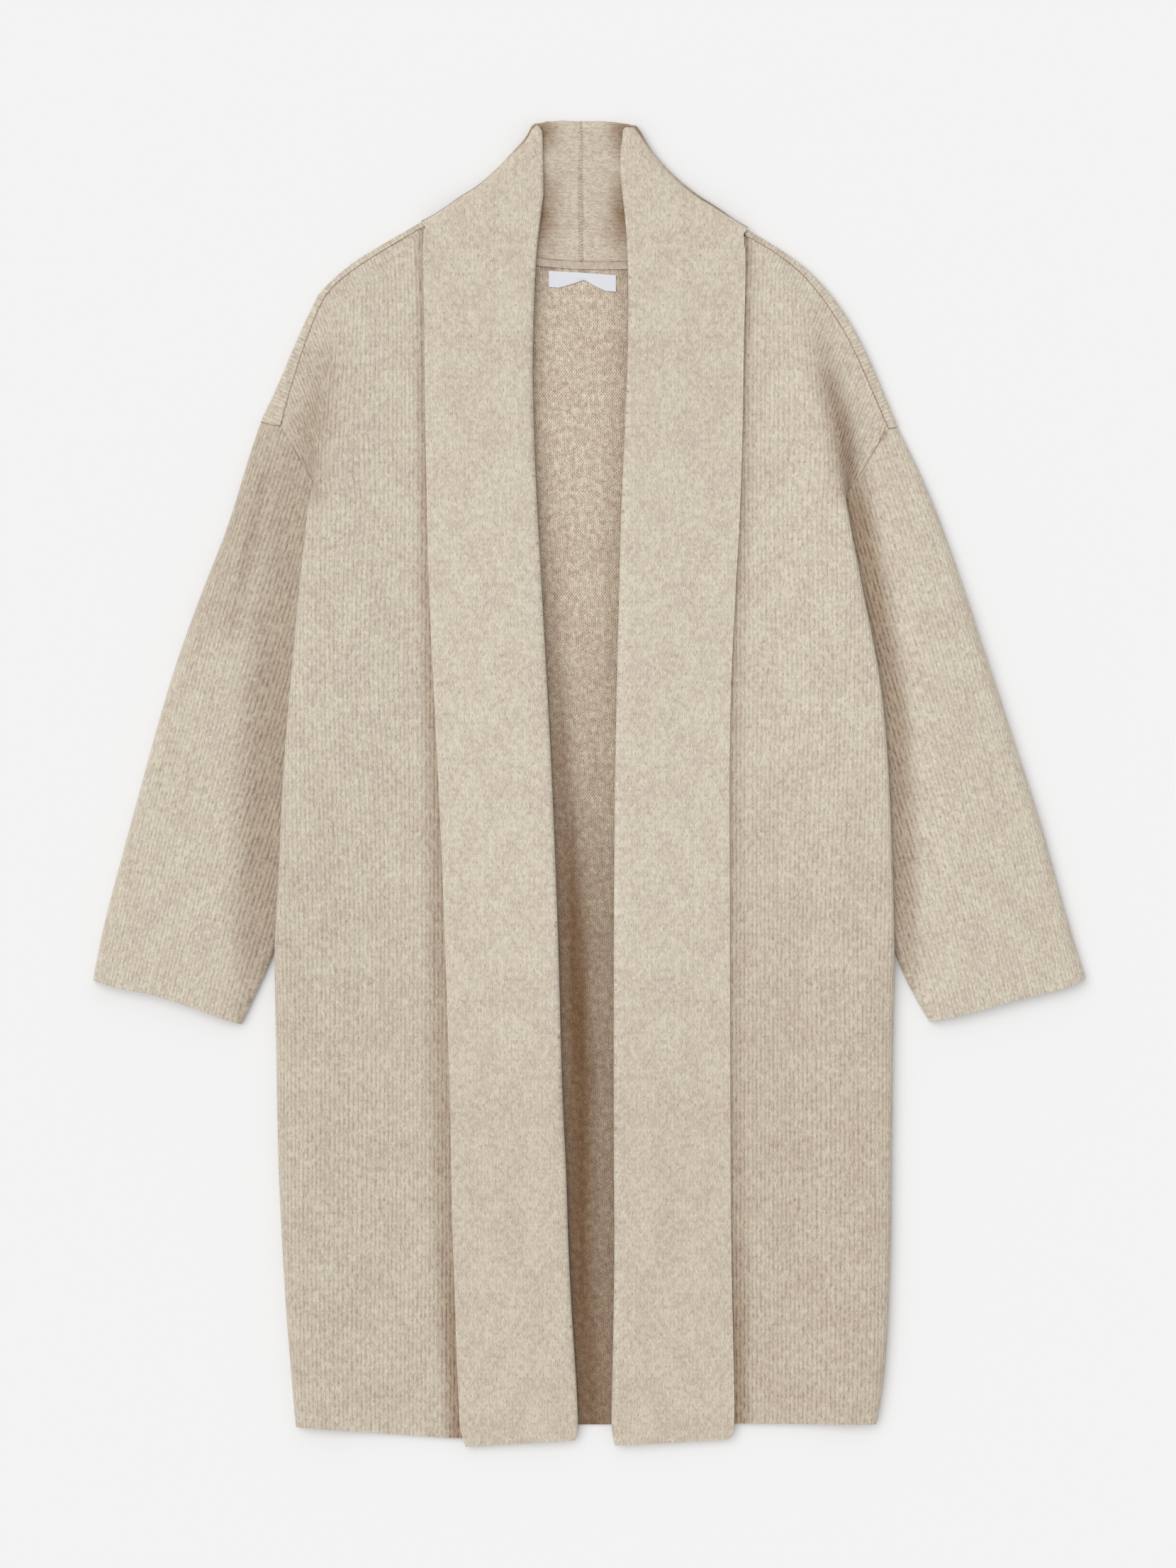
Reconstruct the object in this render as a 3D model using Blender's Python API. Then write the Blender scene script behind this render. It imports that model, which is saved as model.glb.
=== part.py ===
"""A long open-front cardigan coat in brushed knit, laid flat on its back.

The coat is seen from above, with its collar towards +Y. Left and right are the viewer's. Sizes are in
millimetres, and "out" is the distance from the centre line towards the side seam, the same for both sides.
"""

import bpy
import bmesh
import numpy as np

MM = 0.001
CLOTH = 2.5  # thickness of the knit
GAP = 0.35  # between pieces that are sewn together

TUCK = 15.0  # how far a front turns under at the body's side fold
UNDERARM_CLEAR = 5.0  # the front and the back stay this far from the sleeve's corner at the underarm
UNDER_FALL = 14.0  # how far the collar's fall covers the front past the collar seam
BACK_NECK_Y = 439.0
CENTRE_BACK = 7.0  # the centre-back seam lies this far left of the middle
SHOULDER_RADIUS = 4.0
SHOULDER_TURN = 9.0  # how far a shoulder strip goes under before it meets the back

# Heights of the collar's four layers at the neck: they lie about this level.
NECK_LEVEL = 6.1
STAND_OFF = 0.3
FALL_OFF = 6.1
# The seam's edge of the collar sinks to the front's level: its height from the neck level on the first
# sections above y 436.
SEAM_RISE = (-0.8, -0.6, -0.4, -0.2, 0.0, 0.3)

# The shoulder line: where the strip folds over, and the width that shows. One row a section.
SHOULDER = {
    "left": [
        # out, y, width
        (143.5, 476.0, 5.2),
        (163.0, 465.0, 5.2),
        (184.0, 453.0, 5.6),
        (201.0, 442.5, 5.6),
        (219.0, 427.5, 5.2),
        (230.0, 415.0, 5.2),
        (238.5, 398.0, 6.2),
        (247.0, 379.5, 7.6),
        (257.0, 356.0, 9.6),
        (266.0, 334.5, 12.4),
        (272.5, 321.0, 14.6),
        (279.0, 307.6, 17.4),
    ],
    "right": [
        (135.5, 469.0, 5.2),
        (161.0, 454.5, 5.2),
        (183.0, 439.0, 6.4),
        (197.0, 424.5, 7.4),
        (207.0, 413.0, 8.4),
        (219.0, 396.0, 8.8),
        (232.0, 373.0, 9.0),
        (243.0, 348.0, 9.0),
        (253.0, 324.0, 9.0),
        (257.5, 313.0, 8.6),
        (261.5, 303.6, 8.4),
    ],
}

# The fronts. fold is the body's side fold (above y 356 it is only the soft start of it), crest the height
# of the cloth beside it, dip the height half way to the collar, and under the level at which the front comes
# back under itself: over the sleeve where the sleeve lies under it, and on the ground below that.
FRONT = {
    "left": [
        # y, fold, dip, crest, under
        (470.0, 136.0, 8.0, 8.0, 7.4),
        (460.0, 152.0, 8.0, 8.0, 7.4),
        (448.0, 170.0, 7.6, 8.0, 7.4),
        (436.0, 188.0, 7.2, 8.2, 7.4),
        (422.0, 203.0, 6.8, 8.4, 7.4),
        (405.0, 211.0, 6.6, 8.8, 7.4),
        (385.0, 215.0, 6.4, 9.6, 7.4),
        (356.0, 218.5, 6.3, 11.0, 7.4),
        (324.0, 223.5, 6.3, 12.8, 7.4),
        (303.5, 227.5, 6.3, 14.2, 7.4),
        (279.0, 231.3, 6.4, 15.4, 7.4),
        (259.5, 234.4, 6.6, 16.0, 7.4),
        (240.0, 237.5, 6.8, 16.4, 7.4),
        (205.0, 241.5, 7.0, 16.6, 7.4),
        (150.0, 247.5, 7.0, 16.8, 7.4),
        (105.0, 251.5, 7.0, 16.8, 7.4),
        (93.0, 252.6, 7.0, 16.8, 7.4),
        (60.0, 255.5, 6.8, 16.6, 7.4),
        (4.0, 260.0, 6.6, 16.4, 7.4),
        (-50.0, 262.0, 6.6, 16.2, 7.4),
        (-100.0, 264.5, 6.6, 16.0, 7.4),
        (-138.0, 267.0, 6.6, 15.6, 7.2),
        (-168.0, 267.0, 6.6, 14.0, 0.0),
        (-207.0, 266.0, 6.6, 13.6, 0.0),
        (-270.0, 265.0, 6.6, 13.6, 0.0),
        (-326.0, 264.0, 6.6, 13.8, 0.0),
        (-386.0, 261.0, 6.8, 13.8, 0.0),
        (-447.0, 257.5, 7.0, 13.6, 0.0),
        (-500.0, 253.0, 6.8, 12.8, 0.0),
        (-535.0, 250.0, 6.5, 12.0, 0.0),
        (-544.0, 249.0, 6.4, 11.6, 0.0),
    ],
    "right": [
        (462.0, 133.0, 8.0, 8.0, 7.4),
        (450.0, 146.0, 7.8, 8.0, 7.4),
        (436.0, 162.0, 7.4, 8.2, 7.4),
        (420.0, 176.0, 7.0, 8.4, 7.4),
        (400.0, 184.0, 6.6, 8.8, 7.4),
        (378.0, 188.0, 6.4, 9.6, 7.4),
        (356.0, 192.0, 6.3, 10.8, 7.4),
        (332.0, 199.0, 6.3, 12.6, 7.4),
        (303.5, 206.0, 6.3, 14.2, 7.4),
        (279.0, 210.8, 6.4, 15.2, 7.4),
        (259.5, 214.0, 6.6, 15.8, 7.4),
        (240.0, 217.2, 6.8, 16.4, 7.4),
        (205.0, 223.5, 7.0, 16.8, 7.4),
        (150.0, 234.5, 7.0, 17.0, 7.4),
        (105.0, 243.5, 7.0, 17.2, 7.4),
        (93.0, 245.4, 7.0, 17.2, 7.4),
        (60.0, 250.0, 6.8, 17.0, 7.4),
        (4.0, 254.0, 6.6, 16.6, 7.4),
        (-50.0, 256.0, 6.6, 16.2, 7.4),
        (-100.0, 257.5, 6.6, 16.0, 7.4),
        (-138.0, 258.5, 6.6, 15.6, 7.2),
        (-168.0, 259.0, 6.6, 14.0, 0.0),
        (-207.0, 258.0, 6.6, 13.6, 0.0),
        (-270.0, 257.0, 6.6, 13.6, 0.0),
        (-326.0, 256.5, 6.6, 13.8, 0.0),
        (-386.0, 256.3, 6.8, 13.8, 0.0),
        (-447.0, 254.0, 7.0, 13.6, 0.0),
        (-500.0, 251.0, 6.8, 12.8, 0.0),
        (-535.0, 245.0, 6.5, 12.0, 0.0),
        (-541.5, 243.5, 6.4, 11.6, 0.0),
    ],
}

# The armhole seam, from the end of the shoulder strip to the underarm. It shows down to where it goes under
# the body's side fold.
ARMHOLE = {
    "left": [
        # out, y
        (261.0, 302.6),
        (248.0, 279.0),
        (235.0, 259.5),
        (224.5, 240.0),
        (209.0, 205.0),
        (195.0, 150.0),
        (190.5, 105.0),
    ],
    "right": [
        (253.5, 300.4),
        (239.0, 279.0),
        (227.5, 259.5),
        (214.0, 240.0),
        (200.0, 205.0),
        (187.0, 150.0),
        (183.0, 105.0),
    ],
}

# The sleeve's two edges. The inner one is hidden under the body down to y -153.
SLEEVE_OUTER = {
    "left": [
        # out, y
        (279.0, 306.8),
        (289.0, 278.0),
        (306.0, 219.0),
        (333.0, 153.0),
        (356.0, 87.0),
        (379.0, 4.0),
        (390.0, -38.0),
        (402.0, -80.0),
        (411.0, -116.0),
        (418.0, -144.0),
        (421.0, -166.0),
    ],
    "right": [
        (261.6, 302.4),
        (272.0, 282.0),
        (285.0, 255.0),
        (295.5, 229.5),
        (312.0, 184.0),
        (344.0, 87.0),
        (371.0, 4.0),
        (379.5, -21.0),
        (390.0, -57.0),
        (400.5, -97.0),
        (411.0, -133.0),
        (421.0, -164.0),
    ],
}
SLEEVE_INNER = {
    "left": [
        # out, y
        (190.5, 105.0),
        (204.0, 60.0),
        (221.0, 4.0),
        (238.0, -50.0),
        (253.5, -100.0),
        (265.5, -138.0),
        (270.5, -153.0),
        (279.0, -171.0),
        (294.5, -203.5),
    ],
    "right": [
        (183.0, 105.0),
        (196.0, 60.0),
        (213.0, 4.0),
        (230.0, -50.0),
        (246.0, -100.0),
        (256.5, -136.0),
        (261.5, -153.0),
        (271.0, -173.0),
        (288.0, -201.0),
    ],
}
# The cuff's edge between its two corners.
CUFF = {
    "left": [
        # out, y
        (421.0, -166.0),
        (397.0, -173.0),
        (372.0, -177.0),
        (348.0, -184.5),
        (321.0, -195.0),
        (294.5, -203.5),
    ],
    "right": [
        (421.0, -164.0),
        (404.0, -172.0),
        (363.0, -182.0),
        (321.0, -194.0),
        (288.0, -201.0),
    ],
}
# How high the sleeve lies along its length: its full outer half, and the hollow beside the body.
SLEEVE_FULL = [
    # share of length, full, hollow
    (0.0, 8.0, 6.8),
    (0.12, 11.5, 6.8),
    (0.35, 15.5, 6.8),
    (0.7, 15.0, 6.8),
    (0.9, 13.5, 8.0),
    (1.0, 12.0, 8.0),
]

# The collar. roll is the fold along its inner edge and fall its free edge, lying on the front. fall_top and
# roll_top are the heights of its upper face there, and low the height of its under face.
COLLAR = {
    "left": [
        # y, roll, fall, low, roll_top, fall_top
        (-547.0, 9.0, 109.4, 3.0, 11.0, 8.6),
        (-535.0, 9.3, 110.2, 3.0, 11.6, 8.6),
        (-500.0, 10.9, 111.9, 3.0, 12.0, 8.6),
        (-447.0, 14.7, 113.6, 3.0, 12.4, 8.6),
        (-386.0, 17.7, 115.8, 3.0, 12.6, 8.6),
        (-326.0, 19.0, 117.0, 3.0, 12.6, 8.6),
        (-270.0, 22.3, 118.1, 3.0, 12.6, 8.6),
        (-207.0, 24.0, 119.7, 3.0, 12.6, 8.6),
        (-138.0, 25.6, 122.2, 3.0, 12.6, 8.6),
        (-50.0, 29.0, 125.4, 3.0, 12.6, 8.6),
        (4.0, 31.2, 128.0, 3.0, 12.6, 8.6),
        (60.0, 34.0, 130.8, 3.0, 12.6, 8.6),
        (105.0, 36.5, 133.2, 3.0, 12.6, 8.6),
        (150.0, 39.0, 135.3, 3.0, 12.6, 8.6),
        (205.0, 42.0, 137.2, 3.0, 12.6, 8.6),
        (240.0, 44.3, 137.7, 3.0, 12.4, 8.6),
        (303.5, 46.8, 139.0, 3.0, 12.2, 8.8),
        (356.0, 48.0, 139.5, 3.1, 12.2, 9.2),
        (405.0, 46.7, 140.1, 3.7, 12.2, 10.0),
        (436.0, 45.2, 141.0, 5.2, 12.2, 11.0),
    ],
    "right": [
        (-547.0, 18.3, 121.9, 3.0, 11.0, 8.6),
        (-535.0, 18.1, 123.0, 3.0, 11.6, 8.6),
        (-500.0, 19.0, 122.3, 3.0, 12.0, 8.6),
        (-447.0, 20.0, 121.1, 3.0, 12.4, 8.6),
        (-386.0, 20.8, 119.9, 3.0, 12.6, 8.6),
        (-326.0, 20.0, 119.5, 3.0, 12.6, 8.6),
        (-270.0, 20.0, 119.3, 3.0, 12.6, 8.6),
        (-207.0, 20.0, 119.1, 3.0, 12.6, 8.6),
        (-138.0, 20.0, 118.9, 3.0, 12.6, 8.6),
        (-50.0, 20.6, 118.7, 3.0, 12.6, 8.6),
        (4.0, 21.0, 118.5, 3.0, 12.6, 8.6),
        (60.0, 22.2, 119.1, 3.0, 12.6, 8.6),
        (105.0, 23.1, 120.6, 3.0, 12.6, 8.6),
        (150.0, 24.3, 123.0, 3.0, 12.6, 8.6),
        (205.0, 25.7, 126.1, 3.0, 12.6, 8.6),
        (240.0, 26.6, 128.1, 3.0, 12.4, 8.6),
        (303.5, 29.7, 129.8, 3.0, 12.2, 8.8),
        (356.0, 31.8, 130.3, 3.1, 12.2, 9.2),
        (405.0, 32.7, 131.5, 3.7, 12.2, 10.0),
        (436.0, 32.5, 132.0, 5.2, 12.2, 11.0),
    ],
}
# The collar's free lower corners, at the roll and at the fall.
COLLAR_TIP = {
    "left": ((12.0, -555.0), (104.9, -560.7)),
    "right": ((21.0, -559.5), (117.6, -554.5)),
}
# The collar round the neck. turn is how far the fall has gone round from above (0) to behind (180 degrees),
# and bow how much the line from roll to fall bends inwards.
NECK = {
    "left": [
        # roll_out, roll_y, fall_out, fall_y, seam_out, seam_y, turn, bow
        (45.0, 446.0, 141.0, 443.0, 126.0, 444.0, 0.0, 0.0),
        (42.0, 472.0, 141.0, 452.0, 126.0, 454.0, 0.0, 0.0),
        (39.0, 498.0, 140.5, 459.0, 125.5, 460.0, 0.0, 1.0),
        (39.0, 521.0, 139.5, 464.0, 125.0, 463.5, 0.0, 3.0),
        (40.0, 539.0, 138.0, 468.5, 124.0, 465.5, 0.0, 6.0),
        (41.5, 549.5, 136.3, 472.0, 123.0, 467.0, 0.0, 8.0),
        (42.6, 553.6, 135.3, 474.0, 122.3, 467.8, 40.0, 8.0),
        (43.0, 555.0, 135.0, 474.4, 121.8, 468.2, 90.0, 8.0),
        (42.2, 555.6, 134.3, 474.6, 121.0, 468.2, 140.0, 8.0),
        (38.0, 557.6, 129.5, 475.5, 117.0, 467.3, 180.0, 7.0),
        (31.0, 559.6, 110.0, 471.0, 101.0, 461.5, 180.0, 5.0),
        (23.0, 560.6, 82.0, 462.0, 76.0, 451.5, 180.0, 3.0),
        (15.0, 560.7, 44.0, 452.5, 42.0, 442.0, 180.0, 1.0),
        (7.15, 560.7, 7.15, 449.6, 7.15, 439.35, 180.0, 0.0),
    ],
    "right": [
        (32.0, 446.0, 132.0, 441.0, 117.5, 442.0, 0.0, 0.0),
        (30.8, 470.0, 132.0, 448.0, 117.5, 450.0, 0.0, 0.0),
        (28.2, 497.0, 131.5, 453.5, 117.3, 455.0, 0.0, 1.0),
        (26.0, 517.0, 130.5, 458.0, 117.0, 458.5, 0.0, 2.0),
        (26.5, 537.0, 129.0, 463.0, 116.0, 461.0, 0.0, 4.0),
        (30.5, 549.0, 127.8, 467.0, 115.0, 462.6, 0.0, 6.0),
        (34.0, 553.4, 126.8, 469.3, 114.2, 463.4, 40.0, 6.0),
        (35.2, 555.0, 126.2, 470.0, 113.6, 463.8, 90.0, 6.0),
        (34.0, 555.7, 125.4, 470.4, 112.8, 463.8, 140.0, 6.0),
        (28.0, 557.8, 120.0, 471.0, 109.0, 462.8, 180.0, 5.0),
        (20.0, 559.8, 100.0, 467.0, 92.0, 457.3, 180.0, 4.0),
        (11.0, 560.6, 72.0, 458.0, 66.0, 447.6, 180.0, 2.0),
        (2.0, 560.7, 34.0, 449.6, 31.5, 439.2, 180.0, 1.0),
        (-6.85, 560.7, -6.85, 449.6, -6.85, 439.35, 180.0, 0.0),
    ],
}

# The label under the neck tape: across, and its upper and lower edges. Its lower edge has a soft notch.
LABEL = [
    # x, upper_y, lower_y
    (-34.5, 435.4, 421.6),
    (-26.0, 434.9, 421.0),
    (-14.0, 434.2, 424.2),
    (-4.5, 433.6, 427.6),
    (5.0, 433.0, 422.0),
    (14.0, 432.3, 418.2),
    (22.5, 431.7, 417.6),
]
LABEL_THICK = 0.8
TAPE_THICK = 1.0
TAPE_WIDTH = 6.0

SIDE_SIGN = {"left": -1.0, "right": 1.0}


def clear_scene():
    for obj in list(bpy.data.objects):
        bpy.data.objects.remove(obj)


def material(name, colour, rough):
    made = bpy.data.materials.new(name)
    made.use_nodes = True
    shader = made.node_tree.nodes["Principled BSDF"]
    shader.inputs["Base Color"].default_value = (*colour, 1.0)
    shader.inputs["Roughness"].default_value = rough
    return made


def ease(t):
    """0 to 1 with a soft start and end."""
    t = np.clip(t, 0.0, 1.0)
    return t * t * (3.0 - 2.0 * t)


def soft(at, places, heights):
    """A height at each place, eased from one named place to the next."""
    k = np.clip(np.searchsorted(places, at, side="right") - 1, 0, len(places) - 2)
    places = np.asarray(places, float)
    heights = np.asarray(heights, float)
    share = ease((at - places[k]) / (places[k + 1] - places[k]))
    return heights[k] + (heights[k + 1] - heights[k]) * share


def column(rows, k):
    return np.array([row[k] for row in rows], float)


def by_y(rows, y, k):
    """Column k of a table, at height y on the coat."""
    order = np.argsort(column(rows, 1))
    return np.interp(y, column(rows, 1)[order], column(rows, k)[order])


def along(points, shares):
    """Points at these shares of a line's length."""
    points = np.asarray(points, float)
    run = np.concatenate([[0.0], np.cumsum(np.linalg.norm(np.diff(points, axis=0), axis=1))])
    at = np.asarray(shares) * run[-1]
    return np.stack([np.interp(at, run, points[:, k]) for k in range(2)], axis=1)


def normals(face, ring):
    """Unit normals of a grid of points: first index along the piece, second round its section."""
    lengthwise = np.gradient(face, axis=0)
    if ring:
        across = np.roll(face, -1, axis=1) - np.roll(face, 1, axis=1)
    else:
        across = np.gradient(face, axis=1)
    normal = np.cross(lengthwise, across)
    return normal / np.linalg.norm(normal, axis=2, keepdims=True)


def solid(name, sign, outer, inner, ring, look):
    """One closed solid between two grids of points. A ring is closed round its section, and open at both ends."""
    rows, columns, _ = outer.shape
    mesh = bmesh.new()
    corner = np.array([sign, 1.0, 1.0])
    layers = []
    for grid in (outer, inner):
        layers.append([[mesh.verts.new(p * corner * MM) for p in row] for row in grid])
    top, low = layers
    last = columns if ring else columns - 1
    for i in range(rows - 1):
        for j in range(last):
            k = (j + 1) % columns
            mesh.faces.new((top[i][j], top[i][k], top[i + 1][k], top[i + 1][j]))
            mesh.faces.new((low[i][j], low[i + 1][j], low[i + 1][k], low[i][k]))
    for j in range(last):
        k = (j + 1) % columns
        mesh.faces.new((top[0][j], low[0][j], low[0][k], top[0][k]))
        mesh.faces.new((top[-1][j], top[-1][k], low[-1][k], low[-1][j]))
    if not ring:
        for i in range(rows - 1):
            mesh.faces.new((top[i][0], top[i + 1][0], low[i + 1][0], low[i][0]))
            mesh.faces.new((top[i][-1], low[i][-1], low[i + 1][-1], top[i + 1][-1]))
    bmesh.ops.recalc_face_normals(mesh, faces=mesh.faces)
    data = bpy.data.meshes.new(name)
    mesh.to_mesh(data)
    mesh.free()
    data.materials.append(look)
    for polygon in data.polygons:
        polygon.use_smooth = True
    made = bpy.data.objects.new(name, data)
    bpy.context.scene.collection.objects.link(made)
    return made


def cloth(name, side, face, look, turn=1.0, ring=False, thick=CLOTH):
    """A wall of cloth from its outer face. turn is 1 or -1, so that the wall goes inwards from that face."""
    inner = face - turn * thick * normals(face, ring)
    inner[:, :, 2] = np.maximum(inner[:, :, 2], 0.0)
    return solid(name, SIDE_SIGN[side], face, inner, ring, look)


def shoulder_lines(side):
    """The strip's fold line, the way in from it, its width, its front seam, and where it meets the back."""
    rows = SHOULDER[side]
    fold = np.stack([column(rows, 0), column(rows, 1)], axis=1)
    step = np.gradient(fold, axis=0)
    step /= np.linalg.norm(step, axis=1, keepdims=True)
    inward = np.stack([step[:, 1], -step[:, 0]], axis=1)
    width = column(rows, 2)
    corner = np.array(ARMHOLE[side][0]) + (0.0, GAP)
    width[-1] = np.linalg.norm(corner - fold[-1])
    inward[-1] = (corner - fold[-1]) / width[-1]
    return fold, inward, width, fold + inward * width[:, None], fold + inward * (SHOULDER_TURN + GAP)


def shoulder(side, look):
    """The narrow strip of the back that comes forward over the shoulder."""
    fold, inward, width, _, _ = shoulder_lines(side)
    r = SHOULDER_RADIUS
    face = []
    for i in range(len(fold)):
        arc = [(r - r * np.cos(a), r + r * np.sin(a)) for a in np.radians([-90, -50, -10, 30, 60, 90])]
        path = [(SHOULDER_TURN, 0.0)] + arc + [(width[i], 2 * r)]
        face.append([(*(fold[i] + inward[i] * inset), z) for inset, z in path])
    cloth("shoulder_" + side, side, np.array(face), look, turn=-1.0)


def sleeve_edge(side, y):
    """How far out the sleeve's hidden inner edge lies."""
    return by_y([(0.0, row[1], row[0]) for row in SLEEVE_INNER[side]], y, 2)


def front_end(side, y):
    """Where a front ends at this height: on the shoulder strip, on the armhole seam, or on the side seam."""
    _, _, _, seam, _ = shoulder_lines(side)
    slope = np.interp(y, seam[::-1, 1], np.gradient(seam[:, 0], seam[:, 1])[::-1])
    if y >= ARMHOLE[side][0][1]:
        return np.interp(y, seam[::-1, 1], seam[::-1, 0]) - GAP * np.hypot(1.0, slope)
    if y >= ARMHOLE[side][-1][1]:
        return by_y([(0.0, row[1], row[0]) for row in ARMHOLE[side]], y, 2) - GAP
    return sleeve_edge(side, y) - 9.0


def front_section(side, row):
    """The outer face of a front across one row: from the collar seam out, round the side fold, and under."""
    y, fold, dip, crest, under = row
    collar = COLLAR[side]
    low = np.interp(y, column(collar, 0), column(collar, 3))
    if y > collar[-1][0]:
        low = np.interp(y, [436.0, 445.0, 457.0, 480.0], [5.2, 5.4, 5.5, 5.5])
    clear = np.interp(y, [430.0, 440.0, 452.0, 462.0], [GAP, 2.0 * GAP, 2.0 * GAP, 2.0])
    seam = collar_seam(side, y) + clear
    end = front_end(side, y)
    start = low + CLOTH
    radius = (crest - under) / 2.0
    armhole_y = ARMHOLE[side][0][1]
    open_row = y >= ARMHOLE[side][2][1] - 1.0
    if y > armhole_y:
        end_z = 2 * SHOULDER_RADIUS
    else:
        end_z = 7.2
    inmost = fold - radius
    if y >= ARMHOLE[side][-1][1]:
        last = min(end, inmost - 5.0)
        if y < ARMHOLE[side][-1][1] + 1.0:
            last -= UNDERARM_CLEAR
        back = [(min(last + 8.0, inmost), under), (last + 4.0, under), (last, under)]
    elif under > 1.0:
        shelf = min(sleeve_edge(side, y) - 2.0, inmost - 0.5)
        last = min(shelf - 8.0, fold - TUCK)
        back = [(shelf, under), (last + 3.0, 0.0), (last, 0.0)]
    else:
        last = fold - TUCK
        back = [(inmost, 0.0), (0.5 * (inmost + last), 0.0), (last, 0.0)]
    turn_from = fold - max(radius, 2.0)
    if open_row:
        turn_from = min(turn_from, end - 2.5)
    places = [0.0, 0.14, 0.44, 0.9]
    heights = [start, start, dip, crest]
    if under > 1.0 and not open_row:
        lift = min((last - 3.0 - seam) / (turn_from - seam), 0.88)
        places = [0.0, 0.14, 0.5 * lift + 0.04, lift, 0.96]
        heights = [start, start, dip, under + 2.0 * CLOTH + 0.5, crest]
    top = []
    for share in (0.0, 0.07, 0.14, 0.22, 0.32, 0.44, 0.56, 0.68, 0.79, 0.9):
        top.append((seam + (turn_from - seam) * share, soft(share, places, heights)))
    top.append((turn_from, crest))
    if open_row:
        outward = []
        for share in (0.14, 0.28, 0.42, 0.56, 0.7, 0.85, 1.0):
            z = soft(share, [0.0, 0.75, 1.0], [crest, end_z, end_z])
            outward.append((turn_from + (end - turn_from) * share, z))
        return y, top + outward
    arc = []
    for degrees in (50.0, 10.0, -30.0, -65.0):
        a = np.radians(degrees)
        arc.append((inmost + radius * np.cos(a), under + radius + radius * np.sin(a)))
    return y, top + arc + back


def front(side, look):
    sections = [front_section(side, row) for row in FRONT[side]]
    face = np.array([[(out, y, z) for out, z in path] for y, path in sections])
    cloth("front_" + side, side, face, look, turn=1.0)


def collar_seam(side, y):
    """How far out the collar's seam to the front lies."""
    rows = COLLAR[side]
    if y <= rows[-1][0]:
        return np.interp(y, column(rows, 0), column(rows, 2)) - UNDER_FALL
    neck = [row for row in NECK[side] if row[6] == 0.0]
    heights = [rows[-1][0]] + [row[5] for row in neck]
    outs = [rows[-1][2] - UNDER_FALL] + [row[4] for row in neck]
    return np.interp(y, heights, outs)


def hairpin(roll, fall, seam, turn, bow, low, low_end, high, high_end):
    """The collar's section: from its free edge to the roll, round it, and back to the seam.

    low and high are heights of the two faces from the neck level, at the roll, and low_end and high_end at
    the seam and at the free edge. turn swings both from above to behind.
    """
    roll = np.array(roll, float)
    fall = np.array(fall, float)
    seam = np.array(seam, float)
    reach = np.linalg.norm(fall - roll)
    way = (fall - roll) / reach
    sideways = np.array([-way[1], way[0]])
    if sideways[1] < 0.0:
        sideways = -sideways
    a = np.radians(turn)
    radius = (high - low) / 2.0
    middle = (high + low) / 2.0
    points = []

    def put(plan, height, share):
        plan = plan - sideways * 4.0 * bow * share * (1.0 - share) + sideways * height * np.sin(a)
        points.append((plan[0], plan[1], max(NECK_LEVEL + height * np.cos(a), 0.0)))

    first = radius / reach
    for share in (1.0, 0.85, 0.6, 0.3, 0.12):
        between = high_end * 0.7 + high * 0.3
        height = soft(1.0 - share, [0.0, 0.25, 0.8, 1.0], [high_end, between, high, high])
        put(roll + (fall - roll) * max(share, first), height, share)
    for degrees in (90.0, 45.0, 0.0, -45.0, -90.0):
        b = np.radians(degrees)
        put(roll + way * (radius - radius * np.cos(b)), middle + radius * np.sin(b), first * 0.5)
    span = np.linalg.norm(seam - roll)
    near = 1.0 - 9.0 / span
    for share in (0.12, 0.4, near, 1.0 - 4.5 / span, 1.0):
        height = low if share <= near else low + (low_end - low) * ease((share - near) / (1.0 - near))
        put(roll + (seam - roll) * share, height, share)
    return points


def collar(side, look):
    sections = []
    roll, fall = COLLAR_TIP[side]
    low = COLLAR[side][0][3] - NECK_LEVEL
    seam = (fall[0] - UNDER_FALL, 0.9 * fall[1] + 0.1 * roll[1])
    sections.append(hairpin(roll, fall, seam, 0.0, 0.0, low, low, 4.4, 2.4))
    for y, roll, fall, low, roll_top, fall_top in COLLAR[side]:
        low -= NECK_LEVEL
        sections.append(
            hairpin(
                (roll, y),
                (fall, y),
                (fall - UNDER_FALL, y),
                0.0,
                0.0,
                low,
                low,
                roll_top - NECK_LEVEL,
                fall_top - NECK_LEVEL,
            )
        )
    for k, row in enumerate(NECK[side]):
        roll_out, roll_y, fall_out, fall_y, seam_out, seam_y, turn, bow = row
        if turn < 180.0:
            low_end = SEAM_RISE[k] if k < len(SEAM_RISE) else STAND_OFF
        else:
            low_end = NECK_LEVEL - CLOTH
        sections.append(
            hairpin(
                (roll_out, roll_y),
                (fall_out, fall_y),
                (seam_out, seam_y),
                turn,
                bow,
                STAND_OFF,
                low_end,
                FALL_OFF,
                FALL_OFF,
            )
        )
    cloth("collar_" + side, side, np.array(sections), look, turn=1.0)


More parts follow.
